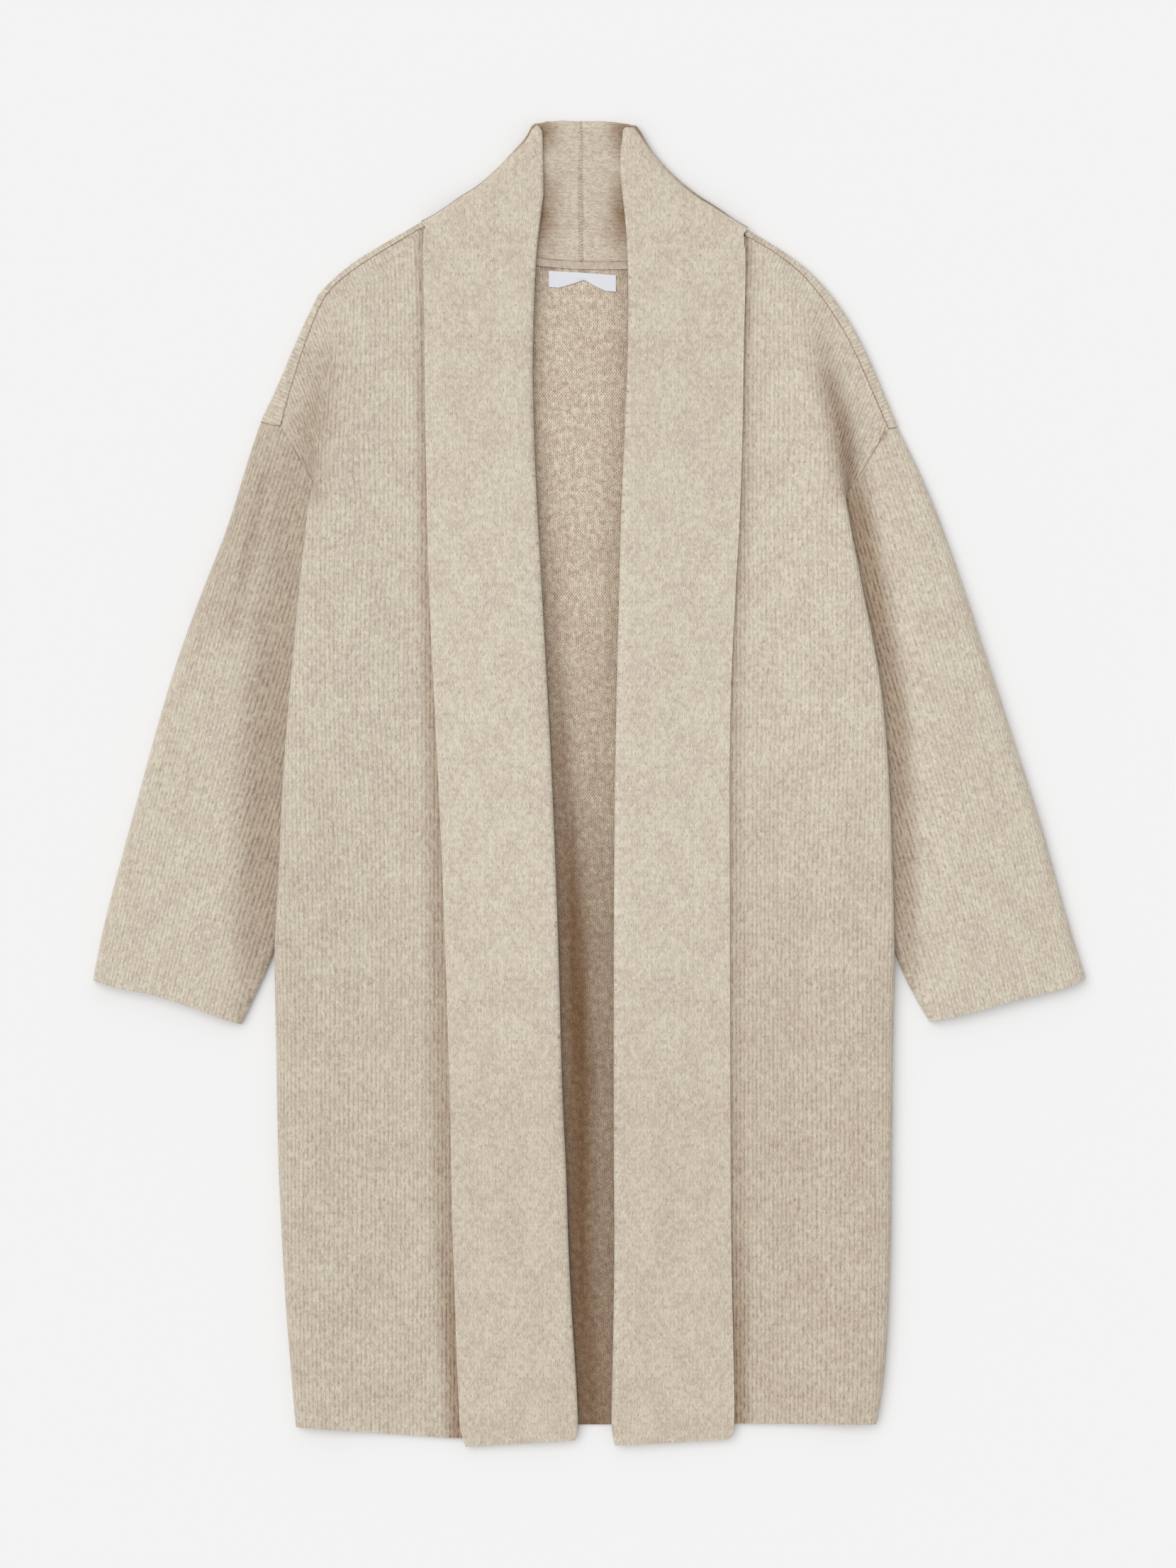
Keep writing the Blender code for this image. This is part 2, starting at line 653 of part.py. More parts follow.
def sleeve(side, look):
    """A flattened tube from the armhole seam to the cuff."""
    armhole = [SLEEVE_OUTER[side][0]] + [(out + GAP, y - GAP) for out, y in ARMHOLE[side]]
    armhole[-1] = SLEEVE_INNER[side][0]
    face = []
    stations = (0.0, 0.03, 0.08, 0.14, 0.21, 0.29, 0.37, 0.45, 0.53, 0.61, 0.69, 0.77, 0.85, 0.93, 1.0)
    for s in stations:
        outer = along(SLEEVE_OUTER[side], [s])[0]
        inner = along(SLEEVE_INNER[side], [s])[0]
        width = np.linalg.norm(inner - outer)
        full = np.interp(s, column(SLEEVE_FULL, 0), column(SLEEVE_FULL, 1))
        hollow = np.interp(s, column(SLEEVE_FULL, 0), column(SLEEVE_FULL, 2))
        rim = 3.4

        def place(share):
            """A plan point across the sleeve, bent to the armhole at one end and to the cuff at the other."""
            plan = outer + (inner - outer) * share
            ends = np.array([SLEEVE_OUTER[side][0], SLEEVE_INNER[side][0]])
            bend = along(armhole, [share])[0] - ends[0] - (ends[1] - ends[0]) * share
            plan = plan + bend * (1.0 - s) ** 2
            ends = np.array([CUFF[side][0], CUFF[side][-1]])
            bend = along(CUFF[side], [share])[0] - ends[0] - (ends[1] - ends[0]) * share
            return plan + bend * s**3

        corner = max(0.079, 9.0 / width + 0.03)
        top = [0.0, 1.2 / width, 4.0 / width, 9.0 / width, corner, 0.16, 0.25, 0.36, 0.48, 0.6, 0.73, 0.85]
        top += [1.0 - 9.0 / width, 1.0 - 4.0 / width, 1.0 - 1.2 / width, 1.0]
        bottom = [1.0 - 1.2 / width, 1.0 - 4.0 / width, 0.75, 0.5, 0.25, 4.0 / width, 1.2 / width]
        ring = []
        for share in top:
            plan = place(share)
            fold = np.interp(plan[1], column(FRONT[side][::-1], 0), column(FRONT[side][::-1], 1))
            z = hollow + (full - hollow) * ease((plan[0] - fold) / 55.0)
            d = min(share, 1.0 - share) * width
            bulge = np.sqrt(1.0 - (1.0 - min(d / 9.0, 1.0)) ** 2)
            ring.append((*plan, rim + (z - rim) * bulge))
        for share in bottom:
            plan = place(share)
            d = min(share, 1.0 - share) * width
            bulge = np.sqrt(1.0 - (1.0 - min(d / 4.0, 1.0)) ** 2)
            ring.append((*plan, rim * (1.0 - bulge)))
        face.append(ring)
    cloth("sleeve_" + side, side, np.array(face), look, turn=-1.0, ring=True)


def back_edge(side, line):
    """The back's side, from the hem up to the shoulder, as plan points. Both sides have the same number."""
    points = []
    for row in FRONT[side][::-1]:
        y = row[0]
        if y < ARMHOLE[side][-1][1]:
            points.append((front_section(side, row)[1][-1][0] - GAP, y))
    for out, y in ARMHOLE[side][::-1]:
        points.append((out - GAP, y))
    underarm = points[-len(ARMHOLE[side])]
    points[-len(ARMHOLE[side])] = (underarm[0] - UNDERARM_CLEAR, underarm[1])
    steep = [p for p in line[::-1] if p[1] < 400.0]
    points += [tuple(p) for p in along(steep, np.linspace(0.0, 1.0, 4))]
    return points


def back(look):
    """The back, flat on the ground. Its top edge is the two shoulders and the neck."""
    edges = {}
    tops = {}
    for side in ("left", "right"):
        _, _, _, _, line = shoulder_lines(side)
        edges[side] = back_edge(side, line)
        neck = [(row[4], row[5] - GAP) for row in NECK[side] if row[6] == 180.0]
        flat = [tuple(p) for p in line[::-1] if p[1] >= 400.0]
        tops[side] = [edges[side][-1]] + flat + neck
    left = np.array(edges["left"]) * (-1.0, 1.0)
    right = np.array(edges["right"])
    top = [(-out, y) for out, y in tops["left"][:-1]]
    top += [(-CENTRE_BACK, BACK_NECK_Y)]
    top = np.array(top + tops["right"][-2::-1])
    run = np.concatenate([[0.0], np.cumsum(np.linalg.norm(np.diff(top, axis=0), axis=1))])
    across = run / run[-1]
    hem = left[0] + (right[0] - left[0]) * across[:, None]
    face = np.zeros((len(left), len(top), 3))
    for i in range(len(left)):
        s = i / (len(left) - 1.0)
        for j, a in enumerate(across):
            plan = left[i] * (1 - a) + right[i] * a + hem[j] * (1 - s) + top[j] * s
            plan = plan - (1 - s) * (left[0] * (1 - a) + right[0] * a)
            plan = plan - s * (left[-1] * (1 - a) + right[-1] * a)
            face[i, j, :2] = plan
    upper = face.copy()
    upper[:, :, 2] = CLOTH
    solid("back", 1.0, upper, face, False, look)


def neck_line(x):
    """The back-neck seam's y at x, on either side of the centre."""
    if x < -CENTRE_BACK:
        rows = [(-row[4], row[5]) for row in NECK["left"] if row[6] == 180.0]
    else:
        rows = [(row[4], row[5]) for row in NECK["right"] if row[6] == 180.0]
    rows = sorted(rows)
    return np.interp(x, [row[0] for row in rows], [row[1] for row in rows])


def neck_tape(look):
    """A narrow tape lying over the back-neck seam, on the back and on the foot of the collar's stand."""
    upper = []
    for x in np.linspace(-56.0, 43.0, 17):
        y = neck_line(x)
        row = []
        for offset in (-3.0, -1.0, 1.0, 3.0):
            z = CLOTH + 0.4 + TAPE_THICK + 0.4 * max(offset, 0.0)
            row.append((x, y + offset * TAPE_WIDTH / 6.0, z))
        upper.append(row)
    upper = np.array(upper)
    lower = upper - (0.0, 0.0, TAPE_THICK)
    solid("neck_tape", 1.0, upper, lower, False, look)


def label(look):
    """The bare label, lying on the back under the tape."""
    z = CLOTH + GAP + LABEL_THICK
    upper = []
    for x, high, low in LABEL:
        upper.append([(x, high + (low - high) * share, z) for share in (0.0, 0.5, 1.0)])
    upper = np.array(upper)
    lower = upper - (0.0, 0.0, LABEL_THICK)
    solid("label", 1.0, upper, lower, False, look)


clear_scene()
knit = material("oatmeal_knit", (0.60, 0.51, 0.40), 0.95)
inside = material("oatmeal_knit_inside", (0.48, 0.39, 0.29), 0.95)
tape = material("neck_tape_knit", (0.56, 0.47, 0.36), 0.9)
satin = material("label_satin", (0.85, 0.85, 0.88), 0.35)
back(inside)
for which in ("left", "right"):
    front(which, knit)
    shoulder(which, knit)
    sleeve(which, knit)
    collar(which, knit)
neck_tape(tape)
label(satin)
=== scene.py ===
# %% [markdown]
# # A long knitted cardigan coat, laid flat
#
# The coat lies on a pale surface and is seen from straight above: two fronts, two wide sleeves
# that lie partly under them, a shawl collar folded back on itself, and the inside of the back
# showing between the collar's two bands. The solids hold the cut and the lie of each panel. This
# script gives them their cloth: soft rounded edges, the lie of the knit's ribs, the brushed marl
# yarn, and the light.

# %% Load the frame
import math

import bmesh
import bpy
import numpy as np
from mathutils import Matrix
from mathutils.bvhtree import BVHTree


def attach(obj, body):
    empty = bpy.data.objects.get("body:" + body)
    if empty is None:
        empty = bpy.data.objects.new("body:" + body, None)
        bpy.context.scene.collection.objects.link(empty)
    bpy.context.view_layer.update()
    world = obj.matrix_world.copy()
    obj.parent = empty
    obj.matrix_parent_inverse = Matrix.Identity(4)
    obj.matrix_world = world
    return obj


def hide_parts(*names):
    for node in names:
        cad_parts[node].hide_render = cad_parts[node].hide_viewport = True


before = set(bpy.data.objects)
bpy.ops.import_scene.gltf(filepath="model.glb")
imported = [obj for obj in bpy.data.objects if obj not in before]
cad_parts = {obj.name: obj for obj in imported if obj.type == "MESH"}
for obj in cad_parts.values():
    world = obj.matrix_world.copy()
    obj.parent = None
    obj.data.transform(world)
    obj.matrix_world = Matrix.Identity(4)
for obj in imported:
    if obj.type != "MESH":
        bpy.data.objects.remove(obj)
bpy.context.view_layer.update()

scene = bpy.context.scene
print("solids:", sorted(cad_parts))

# %% [markdown]
# ## A finer copy of a panel
#
# A knitted panel has no hard edge: its wall is about 2.5 mm of soft yarn, rounded where it ends.
# Sculpting each panel again would be slow and could drift from the solids. Instead each solid is
# copied, its loose triangles are merged and paired back into quads, and the rims get a small
# bevel. The bevel is what keeps the panels meeting at their seams: Catmull-Clark subdivision
# alone would draw a bare rim in by a millimetre or two. After it, subdivision only rounds the
# wall and smooths the long curves.
#
# Large flat faces stay coarse through all this, and the shade mask below needs points in them.
# Slicing the mesh with upright planes every few millimetres adds them without moving the surface.

# %% A panel as a fine mesh
MERGE = 0.00002
RIM_ANGLE = math.radians(58.0)
CORNER_ANGLE = math.radians(14.0)
WALL_NORMAL_Z = 0.35
RIM_RADIUS = 0.0008
PAIR_ANGLE = math.radians(60.0)
PAIR_CORNERS = math.radians(100.0)
FLAT_ANGLE = math.radians(1.0)
SLICE_MERGE = 1e-6


def merged_copy(node):
    shape = bmesh.new()
    shape.from_mesh(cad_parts[node].data)
    bmesh.ops.remove_doubles(shape, verts=shape.verts, dist=MERGE)
    return shape


def as_object(shape, name):
    """The bmesh as a new object in the scene."""
    mesh = bpy.data.meshes.new(name)
    shape.to_mesh(mesh)
    shape.free()
    made = bpy.data.objects.new(name, mesh)
    scene.collection.objects.link(made)
    return made


def is_rim(edge):
    """A rim is a hard edge of the wall. An upright edge at a corner is one too, also when blunt."""
    if len(edge.link_faces) != 2:
        return False
    upright_walls = all(abs(face.normal.z) < WALL_NORMAL_Z for face in edge.link_faces)
    return edge.calc_face_angle() > (CORNER_ANGLE if upright_walls else RIM_ANGLE)


def soften_rims(shape, radius):
    rims = [edge for edge in shape.edges if is_rim(edge)]
    bmesh.ops.bevel(
        shape,
        geom=rims,
        offset=radius,
        offset_type="OFFSET",
        segments=2,
        profile=0.5,
        affect="EDGES",
        material=-1,
        clamp_overlap=True,
    )
    return len(rims)


def slice_every(shape, spacing):
    """Cuts the mesh with upright planes, both ways, this far apart."""
    low = np.min([v.co for v in shape.verts], axis=0)
    high = np.max([v.co for v in shape.verts], axis=0)
    for axis, normal in ((0, (1.0, 0.0, 0.0)), (1, (0.0, 1.0, 0.0))):
        for place in np.arange(low[axis] + spacing, high[axis], spacing):
            point = [place if k == axis else 0.0 for k in range(3)]
            bmesh.ops.bisect_plane(
                shape,
                geom=shape.verts[:] + shape.edges[:] + shape.faces[:],
                dist=SLICE_MERGE,
                plane_co=point,
                plane_no=normal,
            )


def subdivided(shape, name, level):
    """The bmesh as an object, with its Subdivision Surface already part of its points."""
    piece = as_object(shape, name)
    finer = piece.modifiers.new("finer", "SUBSURF")
    finer.levels = finer.render_levels = level
    graph = bpy.context.evaluated_depsgraph_get()
    piece.data = bpy.data.meshes.new_from_object(piece.evaluated_get(graph))
    piece.data.name = name
    piece.modifiers.clear()
    return piece


def fine_copy(node, name, level, radius=RIM_RADIUS, spacing=None):
    """A curved panel: quads and soft rims, subdivided, and sliced where a spacing is given."""
    shape = merged_copy(node)
    bmesh.ops.join_triangles(
        shape,
        faces=shape.faces,
        angle_face_threshold=PAIR_ANGLE,
        angle_shape_threshold=PAIR_CORNERS,
        topology_influence=1.0,
    )
    rims = soften_rims(shape, radius)
    piece = subdivided(shape, name, level)
    if spacing:
        shape = bmesh.new()
        shape.from_mesh(piece.data)
        slice_every(shape, spacing)
        shape.to_mesh(piece.data)
        shape.free()
    piece.data.shade_smooth()
    print(name, "rims", rims, "faces", len(piece.data.polygons))
    return piece


def flat_copy(node, name, radius, spacing):
    """A flat panel: one face each side, with soft rims, sliced into small squares."""
    shape = merged_copy(node)
    bmesh.ops.dissolve_limit(shape, angle_limit=FLAT_ANGLE, verts=shape.verts, edges=shape.edges)
    rims = soften_rims(shape, radius)
    slice_every(shape, spacing)
    piece = as_object(shape, name)
    piece.data.shade_smooth()
    print(name, "rims", rims, "faces", len(piece.data.polygons))
    return piece


def points_of(piece):
    """The piece's points, one row each."""
    co = np.zeros(len(piece.data.vertices) * 3)
    piece.data.vertices.foreach_get("co", co)
    return co.reshape(-1, 3)


# %% The panels
PANEL_SPACING = 0.010
BACK_SPACING = 0.008
BACK_RADIUS = 0.0009
TAPE_RADIUS = 0.0003
LABEL_RADIUS = 0.0002
panels = {}
for node in ("front_left", "front_right", "sleeve_left", "sleeve_right"):
    panels[node] = fine_copy(node, "knit_" + node, 2, spacing=PANEL_SPACING)
for node in ("collar_left", "collar_right", "shoulder_left", "shoulder_right"):
    panels[node] = fine_copy(node, "knit_" + node, 2)
panels["back"] = flat_copy("back", "knit_back", BACK_RADIUS, BACK_SPACING)
panels["neck_tape"] = fine_copy("neck_tape", "neck_tape_band", 1, radius=TAPE_RADIUS)
panels["label"] = fine_copy("label", "label_plain", 1, radius=LABEL_RADIUS)

# %% [markdown]
# Where the collar turns over at its top, behind the neck, its edge is level and its two corners
# are blunt. From there its edge slopes to the shoulders, on the right a little lower than on the
# left. A table says by how many millimetres the edge moves up or down at each distance from the
# middle, and the move fades out between 4 and 30 mm below the edge. The fronts and the back lie
# under the collar there, so they move with it. The rolled edge is drawn in at its top corners.
# Where the collar's free edge meets the shoulder its corner is pulled out and down a few
# millimetres, so that the edge runs straight up. The inner end of each shoulder strip is drawn
# in, until it goes under the collar.

# %% The collar's top edge and the strips' inner ends
# "out" is the distance from the middle of the coat, the same for both sides.
SIGN = {"left": -1.0, "right": 1.0}
EDGE_OUT = (15, 27, 32, 36, 40, 44, 48, 52, 56, 60, 65, 72, 79, 86, 93, 100, 108, 115, 130)
EDGE_MOVE = {
    "left": (
        1.8, 2.6, 2.9, 4.2, 4.0, 3.2, 0.9, -2.0, -2.4, -1.4,
        -0.8, -1.1, -1.2, -1.1, -0.4, 0.6, 1.7, 1.7, 0.6,
    ),
    "right": (
        1.8, 2.6, 2.8, 1.6, -0.3, -1.8, -3.6, -4.8, -5.7, -6.1,
        -6.2, -6.3, -5.9, -4.9, -4.2, -2.4, -1.2, -0.5, 0.0,
    ),
}
EDGE_FADE = (0.030, 0.004)
EDGE_BINS_PER_METRE = 250.0
LOWEST_EDGE_Y = 0.40
PAST_MIDDLE = 0.012
CORNER_PULL = {"left": 0.0035, "right": 0.0042}
CORNER_OUT = {"left": (0.128, 0.137), "right": (0.121, 0.130)}
CORNER_Y = {"left": (0.460, 0.476), "right": (0.457, 0.470)}
CORNER_DROP = 0.55
ROLL_CORNER = {"left": (0.040, 0.0015), "right": (0.0345, 0.0050)}
ROLL_CORNER_WIDTH = 0.006
ROLL_CORNER_Y = (0.532, 0.554)
UPPER_LAYER_Z = 0.0085
STRIP_END = {"left": 0.1435, "right": 0.1355}
STRIP_FADE = 0.016
STRIP_DRAW = 0.0055
STRIP_RISE = 0.70


def fade(value, low, high):
    """0 below low, 1 above high, and a straight slope between."""
    return min(max((value - low) / (high - low), 0.0), 1.0)


def edge_above(collar, sign):
    """The collar's upper edge: its highest y in each 4 mm of distance from the middle."""
    bins = EDGE_BINS_PER_METRE
    places = [(round(bins * sign * v.co.x), v.co.y) for v in collar.data.vertices]
    outs = sorted({place for place, y in places if place >= -1})
    heights = [max(y for place, y in places if place == out) for out in outs]
    return [out / bins for out in outs], heights


def move_edge(piece, side, sign, edge):
    """Moves the points near the collar's upper edge by what the table says."""
    for vertex in piece.data.vertices:
        out, y = sign * vertex.co.x, vertex.co.y
        if out > -PAST_MIDDLE and y > LOWEST_EDGE_Y:
            top = np.interp(out, *edge)
            share = fade(y, top - EDGE_FADE[0], top - EDGE_FADE[1])
            vertex.co.y += 0.001 * share * np.interp(1000.0 * out, EDGE_OUT, EDGE_MOVE[side])


def shape_corners(collar, side, sign):
    """Pulls out the corner at the shoulder, and draws in the rolled edge at its top corner."""
    corner, inward = ROLL_CORNER[side]
    for vertex in collar.data.vertices:
        out, y, z = sign * vertex.co.x, vertex.co.y, vertex.co.z
        pull = CORNER_PULL[side] * fade(out, *CORNER_OUT[side]) * fade(y, *CORNER_Y[side])
        vertex.co.x += sign * pull
        vertex.co.y -= CORNER_DROP * pull
        if z > UPPER_LAYER_Z:
            near = math.exp(-(((out - corner) / ROLL_CORNER_WIDTH) ** 2))
            vertex.co.x -= sign * inward * fade(y, *ROLL_CORNER_Y) * near


def draw_in_strip(strip, side, sign):
    """Draws the strip's inner end under the collar."""
    end = STRIP_END[side]
    for vertex in strip.data.vertices:
        draw = STRIP_DRAW * fade(-sign * vertex.co.x, -end - STRIP_FADE, -end)
        vertex.co.x -= sign * draw
        vertex.co.y += STRIP_RISE * draw


for side, sign in SIGN.items():
    collar = panels["collar_" + side]
    edge = edge_above(collar, sign)
    for node in ("collar_" + side, "front_" + side, "back"):
        move_edge(panels[node], side, sign, edge)
    shape_corners(collar, side, sign)
    draw_in_strip(panels["shoulder_" + side], side, sign)
    print(side, "collar top at %.1f mm" % (1000.0 * points_of(collar)[:, 1].max()))

# %% [markdown]
# The left front hangs a little lower beside the collar than at the body's side: its hem slopes by
# a centimetre.

# %% The left front's hem
HEM_SLOPE = 0.0098
HEM_X = (-0.245, -0.118)
HEM_DEPTH = (0.44, 0.54)
for vertex in panels["front_left"].data.vertices:
    inner_share = fade(vertex.co.x, *HEM_X)
    vertex.co.y -= HEM_SLOPE * inner_share * fade(-vertex.co.y, *HEM_DEPTH)
print("left hem at %.1f mm" % (1000.0 * points_of(panels["front_left"])[:, 1].min()))

# %% [markdown]
# ## Closing the seams
#
# The solids stand about 0.3 mm apart where two panels are sewn together. In the cloth there is no
# slit there: the two rims press on each other and leave only a fine groove. So each point of a
# rim that has its neighbour close beside it moves a little over half of the way to it. Points
# that have the neighbour above or below them stay, because there one panel only lies on the
# other. The seams of shoulder and sleeve look further for the neighbour than those of the collar.

# %% Sewn rims meet
CLOSE = 0.0015
FAR = 0.0046
UNDERARM_Y = 0.240
ALL_Y = -1.0
TOUCHING = 0.0005
BESIDE = 0.6
CLOSING_SHARE = 0.56
SEWN = [("collar_left", "collar_right", CLOSE, ALL_Y), ("back", "neck_tape", CLOSE, ALL_Y)]
for side in ("left", "right"):
    SEWN += [
        ("front_" + side, "shoulder_" + side, FAR, ALL_Y),
        ("front_" + side, "sleeve_" + side, FAR, UNDERARM_Y),
        ("shoulder_" + side, "sleeve_" + side, FAR, ALL_Y),
        ("neck_tape", "collar_" + side, CLOSE, ALL_Y),
    ]
seam_points = {node: set() for node in panels}


def surface_of(piece):
    shape = bmesh.new()
    shape.from_mesh(piece.data)
    tree = BVHTree.FromBMesh(shape)
    shape.free()
    return tree


def steps_towards(piece, tree, reach, low_y):
    """For each point beside the other panel, its number and its step."""
    steps = []
    for vertex in piece.data.vertices:
        if vertex.co.y < low_y:
            continue
        place, _, _, distance = tree.find_nearest(vertex.co, reach)
        if place is not None and abs(place.z - vertex.co.z) < BESIDE * distance:
            steps.append((vertex.index, CLOSING_SHARE * (place - vertex.co)))
    return steps


def mark_seam(node, tree, low_y):
    """Notes which points now touch the neighbour: they lie in the groove of the seam."""
    for vertex in panels[node].data.vertices:
        if vertex.co.y > low_y and tree.find_nearest(vertex.co, TOUCHING)[0] is not None:
            seam_points[node].add(vertex.index)


for first, second, reach, low_y in SEWN:
    one, other = panels[first], panels[second]
    one_steps = steps_towards(one, surface_of(other), reach, low_y)
    other_steps = steps_towards(other, surface_of(one), reach, low_y)
    for piece, steps in ((one, one_steps), (other, other_steps)):
        for index, move in steps:
            piece.data.vertices[index].co += move
    mark_seam(first, surface_of(other), low_y)
    mark_seam(second, surface_of(one), low_y)
    print(first, "to", second, len(one_steps), len(other_steps))

# %% [markdown]
# ## Lines that the cloth follows
#
# Shade and rib direction change along three lines on each side: the collar's free edge on the
# front, the collar's rolled inner edge, and the fold where the front turns under at the body's
# side. Each is a short table that says how far out the line lies at each height, read in between
# by straight steps. These tables, the ribs and the shades are in millimetres.

# %% The three lines
LINE_Y = (-560.0, -447.0, -326.0, -207.0, -50.0, 60.0, 150.0, 240.0, 303.0, 356.0, 405.0, 470.0)
FALL_EDGE = {
    "left": (108.0, 113.6, 117.0, 119.7, 125.4, 130.8, 135.3, 137.7, 139.0, 139.5, 140.1, 141.0),
    "right": (122.0, 121.1, 119.5, 119.1, 118.7, 119.1, 123.0, 128.1, 129.8, 130.3, 131.5, 132.0),
}
ROLL_EDGE = {
    "left": (9.0, 14.7, 19.0, 24.0, 29.0, 34.0, 39.0, 44.3, 46.8, 48.0, 46.7, 43.0),
    "right": (18.3, 20.0, 20.0, 20.0, 20.6, 22.2, 24.3, 26.6, 29.7, 31.8, 32.7, 31.0),
}
SIDE_FOLD = {
    "left": (248.0, 257.5, 264.0, 266.0, 262.0, 255.5, 247.5, 237.5, 227.5, 218.5, 211.0, 136.0),
    "right": (242.0, 254.0, 256.5, 258.0, 256.0, 250.0, 234.5, 217.2, 206.0, 192.0, 184.0, 130.0),
}


def line_at(table, side, y):
    """How far out a line lies at each height y."""
    return np.interp(y, LINE_Y, table[side])


def bell(distance, width):
    """1 on a line, and softly down to 0 about two widths away from it."""
    return np.exp(-((distance / width) ** 2))


def step(value, low, high):
    """0 below low, 1 above high, and a soft start and end between."""
    t = np.clip((value - low) / (high - low), 0.0, 1.0)
    return t * t * (3.0 - 2.0 * t)


def fall(value, low, high):
    """1 below low, 0 above high, and as soft between."""
    return 1.0 - step(value, low, high)


# %% [markdown]
# ## Which way the knit runs
#
# Ribs of knit, called wales, run up each panel. On the fronts they are upright, and on the back
# nearly so. On the sleeves they lean 15 degrees, with the arm. Beyond the body's side fold, below
# the shoulder, the front's cloth is drawn round, so its wales lean the other way. The narrow
# strip over the shoulder belongs to the back and its wales run across it. A texture on Object
# coordinates can't turn with the cloth, so each panel gets a UV map in millimetres: u across the
# wales and v along them.

# %% Rib directions
LEAN = math.tan(math.radians(15.0))
TURNED = math.tan(math.radians(24.0))
TURNED_BEYOND = 1.0
TURNED_ABOVE = 232.0
BACK_LEAN = 0.06
STAND_BOTTOM_Y = 437.0
STAND_TOP_Z = 9.1
STAND_SHIFT = 400.0
SHOULDER_LINE = {
    "left": ((143.5, 476.0), (184.0, 453.0), (219.0, 427.5), (247.0, 379.5), (279.0, 307.6)),
    "right": ((135.5, 469.0), (183.0, 439.0), (207.0, 413.0), (232.0, 373.0), (261.5, 303.6)),
}


# Each run takes the face's corners p and its middle c, so that a whole face runs one way.


def upright(side, p, c):
    """Wales straight up. Where the cloth turns down at a fold, u goes on by the height it drops."""
    return SIGN[side] * p[:, 0] - p[:, 2], p[:, 1]


def front_run(side, p, c):
    out, v = upright(side, p, c)
    beyond = SIGN[side] * c[:, 0] - line_at(SIDE_FOLD, side, c[:, 1])
    turned = (beyond > TURNED_BEYOND) & (c[:, 1] > TURNED_ABOVE)
    return np.where(turned, out - TURNED * v, out), np.where(turned, v + TURNED * out, v)


def sleeve_run(side, p, c):
    out, v = upright(side, p, c)
    return out + LEAN * v, v - LEAN * out


def back_run(side, p, c):
    """Also for the tape and the label."""
    return p[:, 0] + BACK_LEAN * p[:, 1], p[:, 1]


def on_stand(places):
    """True on the collar's stand, which lies low behind the neck and shows its inner face."""
    return (places[:, 1] > STAND_BOTTOM_Y) & (places[:, 2] < STAND_TOP_Z)


def collar_run(side, p, c):
    """Upright on the bands, and level on the stand."""
    u, v = upright(side, p, c)
    stand = on_stand(c)
    return np.where(stand, p[:, 1] + STAND_SHIFT, u), np.where(stand, p[:, 0], v)


def strip_run(side, p, c):
    """u runs along the shoulder line, so that the ribs cross the strip."""
    line = np.array(SHOULDER_LINE[side])
    plan = np.stack([SIGN[side] * p[:, 0], p[:, 1]], axis=1)
    best = np.full(len(p), np.inf)
    u = np.zeros(len(p))
    start = 0.0
    for a, b in zip(line[:-1], line[1:]):
        length = np.linalg.norm(b - a)
        share = np.clip((plan - a) @ (b - a) / length**2, 0.0, 1.0)
        away = np.linalg.norm(plan - a - share[:, None] * (b - a), axis=1)
        u = np.where(away < best, start + share * length, u)
        best = np.minimum(best, away)
        start += length
    return u, best + p[:, 2]


RUNS = {"front": front_run, "sleeve": sleeve_run, "collar": collar_run, "shoulder": strip_run}


def lay_ribs(node, piece):
    """Writes the UV map from each point's place."""
    kind, _, side = node.partition("_")
    mesh = piece.data
    corners = np.zeros(len(mesh.loops), int)
    mesh.loops.foreach_get("vertex_index", corners)
    middles = np.zeros(len(mesh.polygons) * 3)
    mesh.polygons.foreach_get("center", middles)
    sizes = np.zeros(len(mesh.polygons), int)
    mesh.polygons.foreach_get("loop_total", sizes)
    p = points_of(piece)[corners] * 1000.0
    c = np.repeat(middles.reshape(-1, 3), sizes, axis=0) * 1000.0
    u, v = RUNS.get(kind, back_run)(side, p, c)
    mesh.uv_layers.new(name="ribs").data.foreach_set("uv", np.stack([u, v], axis=1).ravel())
    return u.min(), u.max()


for node, piece in panels.items():
    print(node, "u from %.0f to %.0f mm" % lay_ribs(node, piece))

# %% [markdown]
# ## Painted shade in the hollows
#
# Brushed wool is a coat of fine hairs. In a hollow less light comes back, and the cloth reads
# darker and browner than on a crest. The long valleys are beside the collar's free edge, beside the
# side folds and on the inside of the back. The renderer shades the large forms by itself. On top of
# that a soft mask on the points paints shade into the colour, from 0 on open cloth to 1 in the
# deepest hollow. Each kind of panel has its own function, which reads the points p.

# %% Painted shade on the fronts
VALLEY_Y = (-540.0, -477.0, -373.0, -243.0, -62.0, 100.0, 300.0, 420.0)
VALLEY_DEPTH = {
    "left": (0.75, 0.75, 0.52, 0.43, 0.48, 0.45, 0.40, 0.35),
    "right": (0.75, 0.72, 0.43, 0.30, 0.25, 0.28, 0.35, 0.35),
}
VALLEY_FLAT = {
    "left": (6.0, 6.0, 12.0, 14.0, 9.0, 5.0, 3.0, 3.0),
    "right": (10.0, 10.0, 12.0, 12.0, 11.0, 7.0, 4.0, 3.0),
}
VALLEY_END = {
    "left": (18.0, 19.0, 22.0, 25.0, 17.0, 12.0, 9.0, 8.0),
    "right": (19.0, 19.0, 20.0, 19.0, 17.0, 13.0, 10.0, 8.0),
}
RISE_START = 0.35
RISE_END = 1.25
LOW_SHADE = {"left": 0.10, "right": 0.18}
LOW_SHADE_Y = (-300.0, -100.0, 60.0)
LOW_SHADE_SHARE = (1.0, 0.6, 0.0)
PIT = {"left": 0.42, "right": 0.76}
PIT_WIDTH = {"left": 18.0, "right": 11.0}
PIT_BEYOND = 7.0
